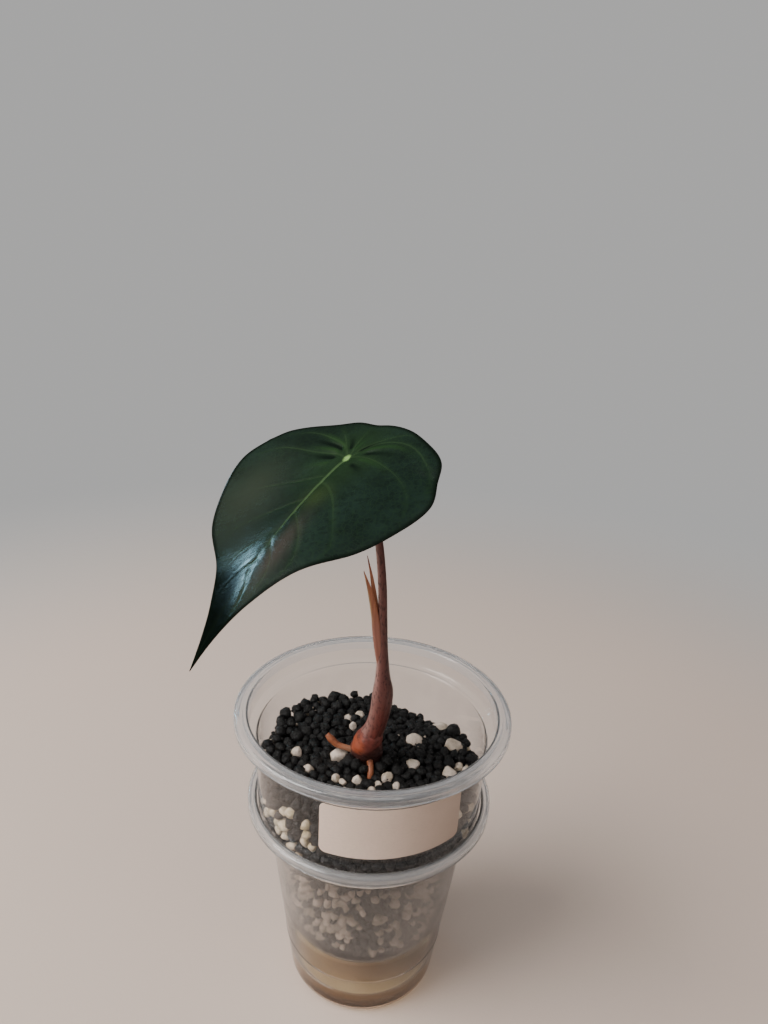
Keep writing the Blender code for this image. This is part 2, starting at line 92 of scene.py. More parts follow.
def smoothLine(points, steps):
    # a Catmull-Rom curve through points of any number of values
    knots = np.array(points, dtype=float)
    knots = np.vstack([2 * knots[0] - knots[1], knots, 2 * knots[-1] - knots[-2]])
    line = []
    for k in range(1, len(knots) - 2):
        a, b, c, d = knots[k - 1:k + 3]
        for j in range(steps):
            t = j / steps
            line.append(0.5 * (2 * b + (c - a) * t + (2 * a - 5 * b + 4 * c - d) * t * t
                               + (3 * b - a - 3 * c + d) * t ** 3))
    return np.array(line + [knots[-2]])


def roundedLine(corners, arcSteps=7):
    # corners are (radius, height, fillet); each corner with a fillet becomes an arc
    line = []
    for k, (r, z, fillet) in enumerate(corners):
        here = np.array((r, z))
        if fillet == 0 or k in (0, len(corners) - 1):
            line.append(here)
            continue
        before = np.array(corners[k - 1][:2]) - here
        after = np.array(corners[k + 1][:2]) - here
        roomBefore, roomAfter = np.linalg.norm(before), np.linalg.norm(after)
        before, after = before / roomBefore, after / roomAfter
        half = math.acos(max(-1.0, min(1.0, float(before @ after)))) / 2
        back = min(fillet / math.tan(half), 0.48 * roomBefore, 0.48 * roomAfter)
        radius = back * math.tan(half)
        middle = here + (before + after) / np.linalg.norm(before + after) * radius / math.sin(half)
        start, end = here + before * back, here + after * back
        for j in range(arcSteps + 1):
            share = j / arcSteps
            spoke = (start - middle) * (1 - share) + (end - middle) * share
            line.append(middle + spoke / np.linalg.norm(spoke) * radius)
    return np.array(line)


def refinedLine(line, longest):
    # splits long spans, so that ridges can be added between the corners
    out = [line[0]]
    for a, b in zip(line, line[1:]):
        count = max(1, math.ceil(np.linalg.norm(b - a) / longest))
        out += [a + (b - a) * j / count for j in range(1, count + 1)]
    return np.array(out)


def refinedPart(line, chosen, longest):
    # splits only the stretch that is chosen
    first, last = np.argmax(chosen), len(line) - np.argmax(chosen[::-1])
    return np.vstack([line[:first], refinedLine(line[first:last], longest), line[last:]])


def offsetLine(line, gap):
    # to the side that is outward on a wall that runs down
    steps = np.diff(line, axis=0)
    steps /= np.linalg.norm(steps, axis=1)[:, None] + 1e-12
    sides = np.column_stack([-steps[:, 1], steps[:, 0]])
    mean = np.vstack([sides[0], (sides[1:] + sides[:-1]) / 2, sides[-1]])
    mean /= np.maximum(np.einsum("ij,ij->i", mean, mean), 0.35)[:, None]
    return line + mean * gap


def circle(radius, height, count):
    turns = [fullTurn * k / count for k in range(count)]
    return [(radius * math.cos(turn), radius * math.sin(turn), height) for turn in turns]


def ringBand(first, second, count):
    # the faces between two rings, given the first vertex of each
    return [(first + k, first + (k + 1) % count, second + (k + 1) % count, second + k) for k in range(count)]


def turnedPiece(name, outline, segments, material=None):
    # turns a closed outline of (radius, height) about Z; points on the axis become one
    verts, rings = [], []
    for radius, height in outline:
        ring = [(0.0, 0.0, height)] if radius < 1e-6 else circle(radius, height, segments)
        rings.append([len(verts) + k % len(ring) for k in range(segments)])
        verts += ring
    faces = []
    for here, following in zip(rings, rings[1:] + rings[:1]):
        if here[0] == here[-1] and following[0] == following[-1]:
            continue
        for k in range(segments):
            after = (k + 1) % segments
            faces.append(list(dict.fromkeys((here[k], here[after], following[after], following[k]))))
    return faceOutward(addPiece(name, verts, faces, material))


def sheetFaces(rows, columns, border):
    # two grids of vertices, one after the other, and the faces that join them along a border
    wide, size, faces = columns + 1, (rows + 1) * (columns + 1), []
    for row in range(rows):
        for a in range(row * wide, row * wide + columns):
            quad = (a, a + wide, a + wide + 1, a + 1)
            faces += [quad, tuple(size + i for i in quad[::-1])]
    return faces + [(b, a, size + a, size + b) for a, b in zip(border, border[1:] + border[:1])]


def sweptTube(line, sides, section=None):
    # verts and faces of a closed tube along points of (x, y, z, radius), with its ends drawn in
    line = np.asarray(line, dtype=float)
    path, radii = line[:, :3], line[:, 3]
    tangents = np.gradient(path, axis=0)
    tangents /= np.linalg.norm(tangents, axis=1)[:, None]
    # the first side is the one nearest to +X all the way up, so that a section keeps its turn
    across = np.cross(tangents, (0.0, 1.0, 0.0))
    weak = np.linalg.norm(across, axis=1) < 0.2
    across[weak] = np.cross(tangents[weak], (0.0, 0.0, 1.0))
    across = -across / np.linalg.norm(across, axis=1)[:, None]
    for k in range(1, len(across)):
        if across[k] @ across[k - 1] < 0:
            across[k] *= -1
    second = np.cross(tangents, across)
    verts, faces = [path[0]], []
    for k, (place, radius) in enumerate(zip(path, radii)):
        for j in range(sides):
            turn = fullTurn * j / sides
            reach = radius * (section(turn, k / (len(path) - 1)) if section else 1.0)
            verts.append(place + reach * (math.cos(turn) * across[k] + math.sin(turn) * second[k]))
    verts.append(path[-1])
    for k in range(len(path) - 1):
        faces += ringBand(1 + k * sides, 1 + (k + 1) * sides, sides)
    last = len(verts) - 1
    for j in range(sides):
        faces.append((0, 1 + (j + 1) % sides, 1 + j))
        faces.append((last, last - sides + j, last - sides + (j + 1) % sides))
    return verts, faces


def tubeValues(rings, sides, value):
    # one value for each vertex of a swept tube, from its turn and its share of the way
    between = [value(fullTurn * j / sides, k / (rings - 1)) for k in range(rings) for j in range(sides)]
    return [0.0, *between, 0.0]


def joinParts(parts):
    verts, faces = [], []
    for partVerts, partFaces in parts:
        start = len(verts)
        verts += [tuple(v) for v in partVerts]
        faces += [tuple(start + i for i in face) for face in partFaces]
    return verts, faces


def newMaterial(name):
    material = bpy.data.materials.new(name)
    material.use_nodes = True
    material.node_tree.nodes.clear()
    return material, material.node_tree


def feed(tree, socket, value):
    # a socket takes a value, or the output that feeds it
    if isinstance(value, bpy.types.NodeSocket):
        tree.links.new(value, socket)
    else:
        socket.default_value = value


def put(tree, kind, inputs=None, **settings):
    node = tree.nodes.new("ShaderNode" + kind)
    for key, value in settings.items():
        setattr(node, key, value)
    for key, value in (inputs or {}).items():
        feed(tree, node.inputs[key], value)
    return node


def colour(values):
    return (*values, 1.0)


def calc(tree, operation, first, second=0.0):
    return put(tree, "Math", {0: first, 1: second}, operation=operation).outputs[0]


def times(tree, first, second):
    return calc(tree, "MULTIPLY", first, second)


def ramp(tree, value, low, high, toLow=0.0, toHigh=1.0, shape="SMOOTHSTEP"):
    limits = {"Value": value, "From Min": low, "From Max": high, "To Min": toLow, "To Max": toHigh}
    return put(tree, "MapRange", limits, interpolation_type=shape).outputs[0]


def blend(tree, share, first, second, mode="MIX"):
    return put(tree, "Mix", {0: share, 6: first, 7: second}, data_type="RGBA", blend_type=mode).outputs[2]


def layered(tree, tones, base, coats):
    # lays coats of (mask, strength, tone) over the base, each over the ones before it
    tone = colour(tones[base])
    for mask, strength, name in coats:
        share = mask if strength == 1 else times(tree, mask, strength)
        tone = blend(tree, share, tone, colour(tones[name]))
    return tone


def placeOf(tree):
    return put(tree, "TexCoord").outputs["Object"]


def axisOf(tree, axis):
    return put(tree, "SeparateXYZ", {0: placeOf(tree)}).outputs[axis]


def attribute(tree, name):
    return put(tree, "Attribute", attribute_name=name).outputs["Fac"]


def coated(tree, tone, roughness, bump, more):
    # bump is (height, strength, distance)
    normal = put(tree, "Bump", dict(zip(("Height", "Strength", "Distance"), bump))).outputs[0]
    return put(tree, "BsdfPrincipled", {"Base Color": tone, "Roughness": roughness, "Normal": normal,
                                        **more}).outputs[0]


def surface(tree, shader):
    put(tree, "OutputMaterial", {"Surface": shader})


def finishSkin(tree, tone, roughness, bump, gloss):
    surface(tree, coated(tree, tone, roughness, bump, {"Specular IOR Level": gloss}))


def finishClear(tree, tone, roughness, bump, ior, transmission, shadowTint):
    # what is clear lets the lamps through with a tint
    glass = coated(tree, tone, roughness, bump, {"IOR": ior, "Transmission Weight": transmission, "Metallic": 0.0})
    through = put(tree, "BsdfTransparent", {"Color": colour(shadowTint)}).outputs[0]
    shadow = put(tree, "LightPath").outputs["Is Shadow Ray"]
    surface(tree, put(tree, "MixShader", {0: shadow, 1: glass, 2: through}).outputs[0])


def makeGroup(name, inputs, outputs, build):
    # build puts the nodes in and gives what feeds each output
    group = bpy.data.node_groups.new(name, "ShaderNodeTree")
    for label, value in inputs.items():
        kind = "NodeSocketVector" if isinstance(value, tuple) else "NodeSocketFloat"
        group.interface.new_socket(name=label, in_out="INPUT", socket_type=kind).default_value = value
    for label in outputs:
        group.interface.new_socket(name=label, in_out="OUTPUT", socket_type="NodeSocketFloat")
    given, out = group.nodes.new("NodeGroupInput").outputs, group.nodes.new("NodeGroupOutput").inputs
    for label, value in zip(outputs, build(group, given)):
        group.links.new(value, out[label])
    return group


def placeGroup(tree, group, **values):
    return put(tree, "Group", values, node_tree=group).outputs


def buildMottle(tree, given):
    # soft patches: a mask that is 0 in the ground and 1 in the patches
    stretched = put(tree, "VectorMath", {0: placeOf(tree), 1: given["Stretch"]}, operation="MULTIPLY").outputs[0]
    cloud = put(tree, "TexNoise", {"Vector": stretched, "Scale": given["Scale"], "Detail": given["Detail"],
                                   "Roughness": 0.6}).outputs[0]
    return [ramp(tree, cloud, given["Low"], given["High"])]


def buildGrain(tree, given):
    # fine grain with pits: a height for Bump, and a mask of the pits
    place = placeOf(tree)
    cloud = put(tree, "TexNoise", {"Vector": place, "Scale": given["Scale"], "Detail": 4.0,
                                   "Roughness": 0.65}).outputs[0]
    cells = put(tree, "TexVoronoi", {"Vector": place, "Scale": given["Scale"], "Randomness": 1.0})
    pit = ramp(tree, cells.outputs["Distance"], 0.28, 0.06)
    return [calc(tree, "SUBTRACT", cloud, times(tree, pit, given["Pits"])), pit]


def buildFog(tree, given):
    # clear plastic that is hazier in patches on its wall, where moisture sits, and at its moulded rim
    place, height = placeOf(tree), axisOf(tree, "Z")
    above, over = (ramp(tree, height, given[end], calc(tree, "ADD", given[end], given["Edge"]))
                   for end in ("From", "To"))
    patches = put(tree, "TexNoise", {"Vector": place, "Scale": given["Scale"], "Detail": 3.0}).outputs[0]
    fog = times(tree, calc(tree, "SUBTRACT", above, over), ramp(tree, patches, 0.25, 0.6))
    rough = ramp(tree, fog, 0.0, 1.0, given["Foot"], given["Wall"], "LINEAR")
    rough = ramp(tree, over, 0.0, 1.0, rough, given["Rim"], "LINEAR")
    return [rough, fog, put(tree, "TexNoise", {"Vector": place, "Scale": 70.0, "Detail": 1.0}).outputs[0]]


def buildUpright(tree, given):
    # a mask that is 1 on upright faces and 0 on level ones
    lean = put(tree, "SeparateXYZ", {0: put(tree, "NewGeometry").outputs["True Normal"]}).outputs["Z"]
    return [ramp(tree, calc(tree, "ABSOLUTE", lean), 0.8, 0.5)]


softMottle = makeGroup("softMottle", {"Scale": 100.0, "Stretch": (1.0, 1.0, 1.0), "Detail": 3.0, "Low": 0.4,
                                      "High": 0.6}, ["Mask"], buildMottle)
uprightMask = makeGroup("uprightMask", {}, ["Mask"], buildUpright)
fineGrain = makeGroup("fineGrain", {"Scale": 2000.0, "Pits": 0.3}, ["Height", "Pit Mask"], buildGrain)
wallFog = makeGroup("wallFog", {"Foot": 0.02, "Wall": 0.1, "Rim": 0.1, "From": 0.0, "To": 0.07, "Edge": 0.003,
                                "Scale": 140.0}, ["Roughness", "Fog", "Height"], buildFog)


def mottled(tree, scale, low, high, detail=3.0, upward=1.0):
    return placeGroup(tree, softMottle, Scale=scale, Low=low, High=high, Detail=detail,
                      Stretch=(1.0, 1.0, upward))["Mask"]


cameraFacts = {
    "place": (0.00041, -0.2254, 0.2682),
    "right": (0.9987976, 0.0171125, 0.0459405),
    "up": (-0.0490241, 0.3486430, 0.9359726),
    "back": (0.0, -0.9370994, 0.3490628),
    "focalPixels": 769.0, "longSidePixels": 1024, "sensor": 36.0,
}


def makeCamera(facts):
    data = bpy.data.cameras.new("camera")
    data.sensor_width = facts["sensor"]
    data.lens = facts["focalPixels"] / facts["longSidePixels"] * facts["sensor"]
    data.clip_start = 0.01
    camera = linkNew("camera", data)
    turn = Matrix((facts["right"], facts["up"], facts["back"])).transposed()
    camera.matrix_world = Matrix.Translation(facts["place"]) @ turn.to_4x4()
    bpy.context.scene.camera = camera


floorFacts = {
    "height": -0.0003, "radius": 0.7, "sides": 96,
    "near": (0.665, 0.545, 0.475),  # warm and pale round the plant
    "far": (0.62, 0.56, 0.52),
    "fadeFrom": 0.24, "fadeTo": 0.62,  # from here on there is only the plain backdrop colour
    "grain": 700.0, "roughness": 0.7, "gloss": 0.2,
}


def makeFloor(facts):
    material, tree = newMaterial("floorPaint")
    reach = put(tree, "VectorMath", {0: placeOf(tree)}, operation="LENGTH").outputs["Value"]
    edge = ramp(tree, reach, facts["fadeFrom"], facts["fadeTo"])
    tone = layered(tree, facts, "near", [(edge, 1, "far")])
    grain = placeGroup(tree, fineGrain, Scale=facts["grain"], Pits=0.2)["Height"]
    paint = coated(tree, tone, facts["roughness"], (grain, 0.12, 0.0004), {"Specular IOR Level": facts["gloss"]})
    beyond = put(tree, "BsdfTransparent").outputs[0]
    surface(tree, put(tree, "MixShader", {0: edge, 1: paint, 2: beyond}).outputs[0])
    rim = circle(facts["radius"], facts["height"], facts["sides"])
    addPiece("floor", rim, [range(len(rim))], material, smooth=False)


studioFacts = {
    "backdrop": (0.455, 0.452, 0.448),
    "mirroredLow": (0.012, 0.012, 0.012),  # what gloss shows near the horizon, as in a furnished room
    "mirroredHigh": (0.11, 0.106, 0.10),  # and high up
    "mirroredInside": (0.20, 0.198, 0.195),  # what is mirrored within the clear plastic
    "ambient": (0.27, 0.268, 0.265),  # what it lights matt surfaces with
}


def makeStudio(facts):
    world = bpy.data.worlds.new("studio")
    bpy.context.scene.world = world
    world.use_nodes = True
    tree = world.node_tree
    ray = put(tree, "LightPath").outputs
    height = put(tree, "SeparateXYZ", {0: put(tree, "TexCoord").outputs["Generated"]}).outputs["Z"]
    mirrored = layered(tree, facts, "mirroredLow", [
        (ramp(tree, height, 0.20, 0.75), 1, "mirroredHigh"),
        (calc(tree, "GREATER_THAN", ray["Transmission Depth"], 0.5), 1, "mirroredInside")])
    tone = blend(tree, ray["Is Glossy Ray"], colour(facts["backdrop"]), mirrored)
    tone = blend(tree, ray["Is Diffuse Ray"], tone, colour(facts["ambient"]))
    tree.links.new(tone, tree.nodes["Background"].inputs["Color"])


lampFacts = {
    # name: (azimuth from +Y towards +X, elevation, distance, size, power, colour)
    "keyLeft": (-110, 45, 1.2, 0.9, 18.5, (1.0, 0.965, 0.92)),
    "frontSoft": (176, 64, 1.3, 1.0, 2.2, (1.0, 0.98, 0.96)),
    "windowBack": (-46, 17.5, 1.0, 0.085, 0.50, (0.46, 0.81, 1.0)),
    "roomGlow": (-54, 36, 1.3, 0.42, 0.16, (1.0, 0.86, 0.74)),
    "fillRight": (115, 30, 1.3, 0.9, 2.1, (1.0, 0.93, 0.88)),
    "lowLeft": (-112, 7, 0.9, 0.3, 1.1, (1.0, 0.96, 0.92)),  # gets in under the leaf
}
windowStretch = 1.3  # the window lamp alone is upright and square-cornered


def makeLamps(lamps, aim=Vector((0.0, 0.0, 0.10))):
    for name, (azimuth, elevation, distance, size, power, tint) in lamps.items():
        data = bpy.data.lights.new(name, "AREA")
        data.shape = "RECTANGLE" if name == "windowBack" else "DISK"
        data.size, data.size_y = size, size * windowStretch
        data.energy, data.color = power, tint
        lamp = linkNew(name, data)
        a, e = math.radians(azimuth), math.radians(elevation)
        way = Vector((math.sin(a) * math.cos(e), math.cos(a) * math.cos(e), math.sin(e)))
        lamp.location = aim + way * distance
        lamp.rotation_euler = way.to_track_quat("Z", "Y").to_euler()
        lamp.visible_camera = False


makeCamera(cameraFacts)
makeFloor(floorFacts)
makeStudio(studioFacts)
makeLamps(lampFacts)
print("camera, floor and lamps made")


cupShape = {
    "wall": 0.0006, "segments": 192, "lipDrop": 0.0030, "wallIor": 1.32, "rimIor": 1.47,
    "rimDepth": 0.0034,  # the rolled rim is thicker and milkier than the wall down to here
    "rimCool": (0.93, 0.955, 0.985), "fogTint": 0.95,
    "stainFade": 0.002, "filmFade": (0.0006, 0.001),  # over what height they come in and go
}
outerCup = {
    "rimRadius": 0.04325, "rimTop": 0.0794, "opening": 0.0400, "seat": 0.03995, "stepZ": 0.0721,
    "wallTop": 0.0356, "baseRadius": 0.0270, "heel": 0.0022,
    "ridges": ((0.0416, 0.00035, 0.0007),),  # (radius, depth, half width) of each groove in the flange
    "ring": (0.0180, 0.00016, 0.0004),  # (height, depth, half width) of the fine ring on the wall
    "tint": (0.90, 0.91, 0.915), "transmission": 0.9960, "rimTransmission": 0.95,
    "foot": 0.01, "foggy": 0.15, "rim": 0.13,  # how rough each part of the wall is
    "fogBand": (0.0185, 0.0700),
    "stain": (0.66, 0.55, 0.46), "stainTop": 0.0112,  # painted shade: darker and browner on the wall below the water line, for the shade under the cup
    # painted shade: a darker band on the wall between these heights (from, to, tint), over the shaded gap under
    # the inner cup
    "film": (0.0180, 0.0280, (0.80, 0.755, 0.775)), "shadowTint": (0.80, 0.77, 0.74),
}
innerCup = {
    "rimRadius": 0.0475, "rimTop": 0.1137, "opening": 0.0426, "seat": 0.0422, "stepZ": 0.1053,
    "bandTop": 0.0394, "band": 0.0390, "shoulderZ": 0.0730, "wallTop": 0.0346, "floorRadius": 0.0276,
    "floorZ": 0.0256, "holes": 6, "holeRing": 0.0160, "holeRadius": 0.0022, "holeTurn": 33.0,
    "ridges": ((0.0450, 0.00042, 0.0008), (0.0435, 0.0002, 0.0004)),
    "tint": (0.95, 0.955, 0.96), "transmission": 0.998, "rimTransmission": 0.95,
    "foot": 0.02, "foggy": 0.035, "rim": 0.13, "fogBand": (0.026, 0.101),
    # painted shade: a little darker low on the wall, at the foot
    "stain": (0.93, 0.93, 0.92), "stainTop": 0.0262,
    # painted shade: a dark band at the foot, where the soil's bottom edge lies in shade
    "film": (0.0240, 0.0302, (0.55, 0.57, 0.54)), "shadowTint": (0.93, 0.93, 0.93),
}


def makeCupMaterial(name, facts, tint, transmission, ior):
    material, tree = newMaterial(name)
    (fogFrom, fogTo), (low, high, film) = facts["fogBand"], facts["film"]
    fog = placeGroup(tree, wallFog, Foot=facts["foot"], Wall=facts["foggy"], Rim=facts["rim"],
                     From=fogFrom, To=fogTo)
    height, upright = axisOf(tree, "Z"), placeGroup(tree, uprightMask)["Mask"]
    fadeLow, fadeHigh = cupShape["filmFade"]
    lowShaded = ramp(tree, height, facts["stainTop"], facts["stainTop"] - cupShape["stainFade"])
    inShadeBand = times(tree, ramp(tree, height, low - fadeLow / 2, low + fadeLow / 2),
                   ramp(tree, height, high, high - fadeHigh))
    tone = blend(tree, fog["Fog"], colour(tint), colour([cupShape["fogTint"] * v for v in tint]))
    # painted shade: low on the wall, on upright faces
    tone = blend(tree, times(tree, lowShaded, upright), tone, colour(facts["stain"]))
    # painted shade: the band is multiplied in on upright faces
    tone = blend(tree, times(tree, inShadeBand, upright), tone, colour(film), "MULTIPLY")
    finishClear(tree, tone, fog["Roughness"], (fog["Height"], 0.25, 0.0006), ior, transmission,
                facts["shadowTint"])
    return material


def finishCup(cup, facts):
    cup.data.materials.clear()
    rimTint = [v * cool for v, cool in zip(facts["tint"], cupShape["rimCool"])]
    for part, tint, transmission, ior in (
            ("Wall", facts["tint"], facts["transmission"], cupShape["wallIor"]),
            ("Rim", rimTint, facts["rimTransmission"], cupShape["rimIor"])):
        cup.data.materials.append(makeCupMaterial(cup.name + part, facts, tint, transmission, ior))
    for face in cup.data.polygons:
        x, y, z = face.center
        onRim = z > facts["rimTop"] - cupShape["rimDepth"] and math.hypot(x, y) > facts["opening"] - 0.0001
        face.material_index = int(onRim)
    return cup


def cupOutline(facts, corners):
    # the rim from its lip to the step, then the given corners down to the axis, as a closed outline
    top, lip = facts["rimTop"], facts["rimTop"] - cupShape["lipDrop"]
    line = refinedLine(roundedLine([
        (facts["rimRadius"], lip, 0), (facts["rimRadius"], top, 0.0014),
        (facts["opening"] + 0.0001, top - 0.0002, 0.0008), (facts["seat"], facts["stepZ"], 0.0012),
        *corners]), 0.0010)
    height, depth, half = facts.get("ring", (0.0, 0.0, 1.0))
    if depth:
        line = refinedPart(line, np.abs(line[:, 1] - height) < 0.002, 0.0002)
    line = refinedPart(line, line[:, 1] > top - 0.001, 0.00018)
    under = offsetLine(line, cupShape["wall"])
    under[-1, 0] = 0.0
    under[:, 0] += depth * np.exp(-((under[:, 1] - height) / half) ** 2) * (under[:, 0] > facts["wallTop"] * 0.5)
    for radius, depth, half in facts["ridges"]:
        onFlange = (line[:, 1] > top - 0.001) & (np.abs(line[:, 0] - radius) < 2.2 * half)
        line[onFlange, 1] -= depth * np.exp(-((line[onFlange, 0] - radius) / half) ** 2)
    return np.vstack([line, under[::-1]])


def makeOuterCup(facts):
    floorZ = cupShape["wall"]
    outline = cupOutline(facts, [
        (facts["wallTop"], facts["stepZ"], 0.0008), (facts["baseRadius"], floorZ + facts["heel"] * 0.7, 0.0030),
        (facts["baseRadius"] - facts["heel"], floorZ, 0.0016), (0.0, floorZ, 0)])
    return finishCup(turnedPiece("outerCup", outline, cupShape["segments"]), facts)


def makeInnerCup(facts):
    outline = cupOutline(facts, [
        (facts["bandTop"], facts["stepZ"], 0.0012), (facts["band"], facts["shoulderZ"], 0.0012),
        (facts["wallTop"], facts["shoulderZ"], 0.0012), (facts["floorRadius"], facts["floorZ"], 0.0018),
        (0.0, facts["floorZ"], 0)])
    cup = turnedPiece("innerCup", outline, cupShape["segments"])
    bm = bmesh.new()
    for k in range(facts["holes"]):
        turn, ring = math.radians(facts["holeTurn"]) + fullTurn * k / facts["holes"], facts["holeRing"]
        place = Matrix.Translation((ring * math.cos(turn), ring * math.sin(turn), facts["floorZ"]))
        bmesh.ops.create_cone(bm, cap_ends=True, segments=32, radius1=facts["holeRadius"],
                              radius2=facts["holeRadius"], depth=0.004, matrix=place)
    cutter = addPiece("drainCutter", [], [], smooth=False)
    bm.to_mesh(cutter.data)
    bm.free()
    cut = cup.modifiers.new("drains", "BOOLEAN")
    cut.object, cut.operation, cut.solver = cutter, "DIFFERENCE", "MANIFOLD"
    bpy.context.view_layer.update()
    cup.data = bpy.data.meshes.new_from_object(cup.evaluated_get(bpy.context.evaluated_depsgraph_get()))
    cup.modifiers.clear()
    bpy.data.objects.remove(cutter, do_unlink=True)
    return finishCup(cup, facts)


standIn(makeOuterCup(outerCup), "outer_cup")
standIn(makeInnerCup(innerCup), "inner_cup")
print("cups made")


waterFacts = {
    "level": 0.0105, "climb": 0.0007, "climbReach": 0.0012,  # how far the water climbs the wall
    "gap": 0.00003, "ior": 1.333,
    "tint": (0.88, 0.82, 0.72),
    "ringTint": (0.98, 0.985, 0.83),  # nearer to the wall, where more light gets in
    # painted shade: the water's sides are tinted much darker, for the shade under the cup
    "sideTint": (0.33, 0.25, 0.19), "shadowTint": (0.84, 0.77, 0.63),
}


def makeWater(facts):
    material, tree = newMaterial("cupWater")
    ripple = put(tree, "TexNoise", {"Scale": 40.0, "Detail": 1.0}).outputs[0]
    flat = put(tree, "VectorMath", {0: placeOf(tree), 1: (1.0, 1.0, 0.0)}, operation="MULTIPLY").outputs[0]
    reach = put(tree, "VectorMath", {0: flat}, operation="LENGTH").outputs["Value"]
    tone = layered(tree, facts, "tint", [(ramp(tree, reach, 0.0150, 0.0185), 1, "ringTint"),
                                         (placeGroup(tree, uprightMask)["Mask"], 1, "sideTint")])
    tone = blend(tree, mottled(tree, 60.0, 0.3, 0.8), tone, colour([0.96 * v for v in facts["tint"]]), "MULTIPLY")
    finishClear(tree, tone, 0.0, (ripple, 0.04, 0.001), facts["ior"], 1.0, facts["shadowTint"])
    floorZ, gap, level, climb = cupShape["wall"], facts["gap"], facts["level"], facts["climb"]
    heelTop = floorZ + outerCup["heel"] * 0.7
    slope = (outerCup["wallTop"] - outerCup["baseRadius"]) / (outerCup["stepZ"] - heelTop)
    edge = outerCup["baseRadius"] + slope * (level + climb - heelTop) - gap
    top = [(0.0, level)]
    for k in range(16):
        radius = edge - 5 * facts["climbReach"] * (1 - k / 15) ** 1.6
        top.append((radius, level + climb * math.exp((radius - edge) / facts["climbReach"])))
    wall = roundedLine([
        (edge, level + climb, 0), (outerCup["baseRadius"] - gap, heelTop, 0.0030),
        (outerCup["baseRadius"] - outerCup["heel"] - gap, floorZ + gap, 0.0016), (0.0, floorZ + gap, 0)])
    return turnedPiece("cupWater", np.vstack([np.array(top), wall[1:]]), cupShape["segments"], material)


standIn(makeWater(waterFacts), "water")
print("water made")


labelFacts = {
    "width": 0.0480, "height": 0.0190, "bottom": 0.0842, "corner": 0.0022, "turn": 12.5,
    "gap": 0.00004, "thickness": 0.00014, "columns": 96, "rows": 40,
    "paper": (0.83, 0.655, 0.55), "shade": (0.44, 0.325, 0.26),  # painted shade, that grows to the right, away from the light
}


def makeLabel(facts):
    material, tree = newMaterial("labelPaper")
    fibre, cloud = mottled(tree, 900.0, 0.35, 0.7, 4.0, 2.5), mottled(tree, 45.0, 0.35, 0.75)
    shading = calc(tree, "ADD", times(tree, cloud, 0.14), ramp(tree, axisOf(tree, "X"), -0.004, 0.034, 0.0, 0.95))
    tone = layered(tree, facts, "paper", [(shading, 1, "shade"), (fibre, 0.12, "shade")])
    grain = placeGroup(tree, fineGrain, Scale=2600.0, Pits=0.1)["Height"]
    finishSkin(tree, tone, ramp(tree, fibre, 0.0, 1.0, 0.50, 0.62), (grain, 0.25, 0.00005), 0.5)
    taper = (innerCup["bandTop"] - innerCup["band"]) / (innerCup["stepZ"] - innerCup["shoulderZ"])
    columns, rows, verts = facts["columns"], facts["rows"], []
    for lift in (facts["gap"] + facts["thickness"], facts["gap"]):
        for row in range(rows + 1):
            for column in range(columns + 1):
                # the columns crowd at the ends, so that the corners come out round
                side = math.sin(math.pi / 2 * (2 * column / columns - 1)) * facts["width"] / 2
                into = max(0.0, abs(side) - (facts["width"] / 2 - facts["corner"]))
                drop = facts["corner"] - math.sqrt(max(facts["corner"] ** 2 - into ** 2, 0.0))
                rise = (2 * row / rows - 1) * (facts["height"] / 2 - drop)
                z = facts["bottom"] + facts["height"] / 2 + rise
                radius = innerCup["band"] + taper * (z - innerCup["shoulderZ"]) + cupShape["wall"] + lift
                angle = math.radians(facts["turn"]) + side / radius
                verts.append((radius * math.sin(angle), -radius * math.cos(angle), z))
    grid = np.arange((rows + 1) * (columns + 1)).reshape(rows + 1, columns + 1)
    border = np.concatenate([grid[0], grid[1:, -1], grid[-1, -2::-1], grid[-2:0:-1, 0]]).tolist()
    label = faceOutward(addPiece("labelSheet", verts, sheetFaces(rows, columns, border), material))
    label.data.set_sharp_from_angle(angle=math.radians(50))
    return label


standIn(makeLabel(labelFacts), "label")
print("label made")


soilFacts = {
    "top": 0.0938, "lean": 0.065, "dip": 0.0062, "dipCentre": (0.018, 0.034), "dipReach": 0.016,
    "squeeze": 0.93,  # how near two pellets come, as a share of their radii
    "rounds": 44, "push": 0.8, "wallStart": 0.033, "turnStep": 2.39996, "turnJitter": 0.3,
    "sink": 0.4,  # how far the top pellets stand in, as a share of their radii
    "lift": (-0.0008, 0.0010), "underDepth": 0.0042, "bandDepth": 0.0030,
    "wallGap": 0.00012, "underInset": 0.0012, "floorInset": 0.0035,
    # the strip right under the label and the foot of the lower wall show dark pellets alone
    "darkStrip": (0.27, 0.66, 0.0865),  # (middle and half width, as angles from the front, top)
    "darkFoot": 0.0292,
    "paleSink": 0.0002, "proudSink": 0.0009, "flatten": (0.84, 1.0),
    "paleForm": ((0.75, 1.3), (0.75, 1.2), (0.6, 1.05)),  # how long, wide and high beside the pellet's radius
    "crumbs": 620, "paleCrumbs": 26, "crumbReach": 0.0368, "crumbRadius": (0.0003, 0.0009),
    "crumbDepth": (-0.0006, 0.0020), "crumbForm": (0.6, 1.0),
}
# layers: (count, smallest radius, largest radius, share of pale grains, spread, lowest and highest start);
# those without a spread lie against the wall
soilLayers = {
    "Top": (330, 0.0015, 0.0024, 0.010, 0.036, 0.09, 0.09),
    "Under": (200, 0.0018, 0.0025, 0.08, 0.036, 0.09, 0.09),
    "Band": (320, 0.0016, 0.0024, 0.42, 0, 0.0748, 0.0900),
    "Lower": (900, 0.0012, 0.0021, 0.43, 0, 0.0275, 0.0715),
    "Floor": (110, 0.0018, 0.0024, 0.15, 0.025, 0.03, 0.03),
}
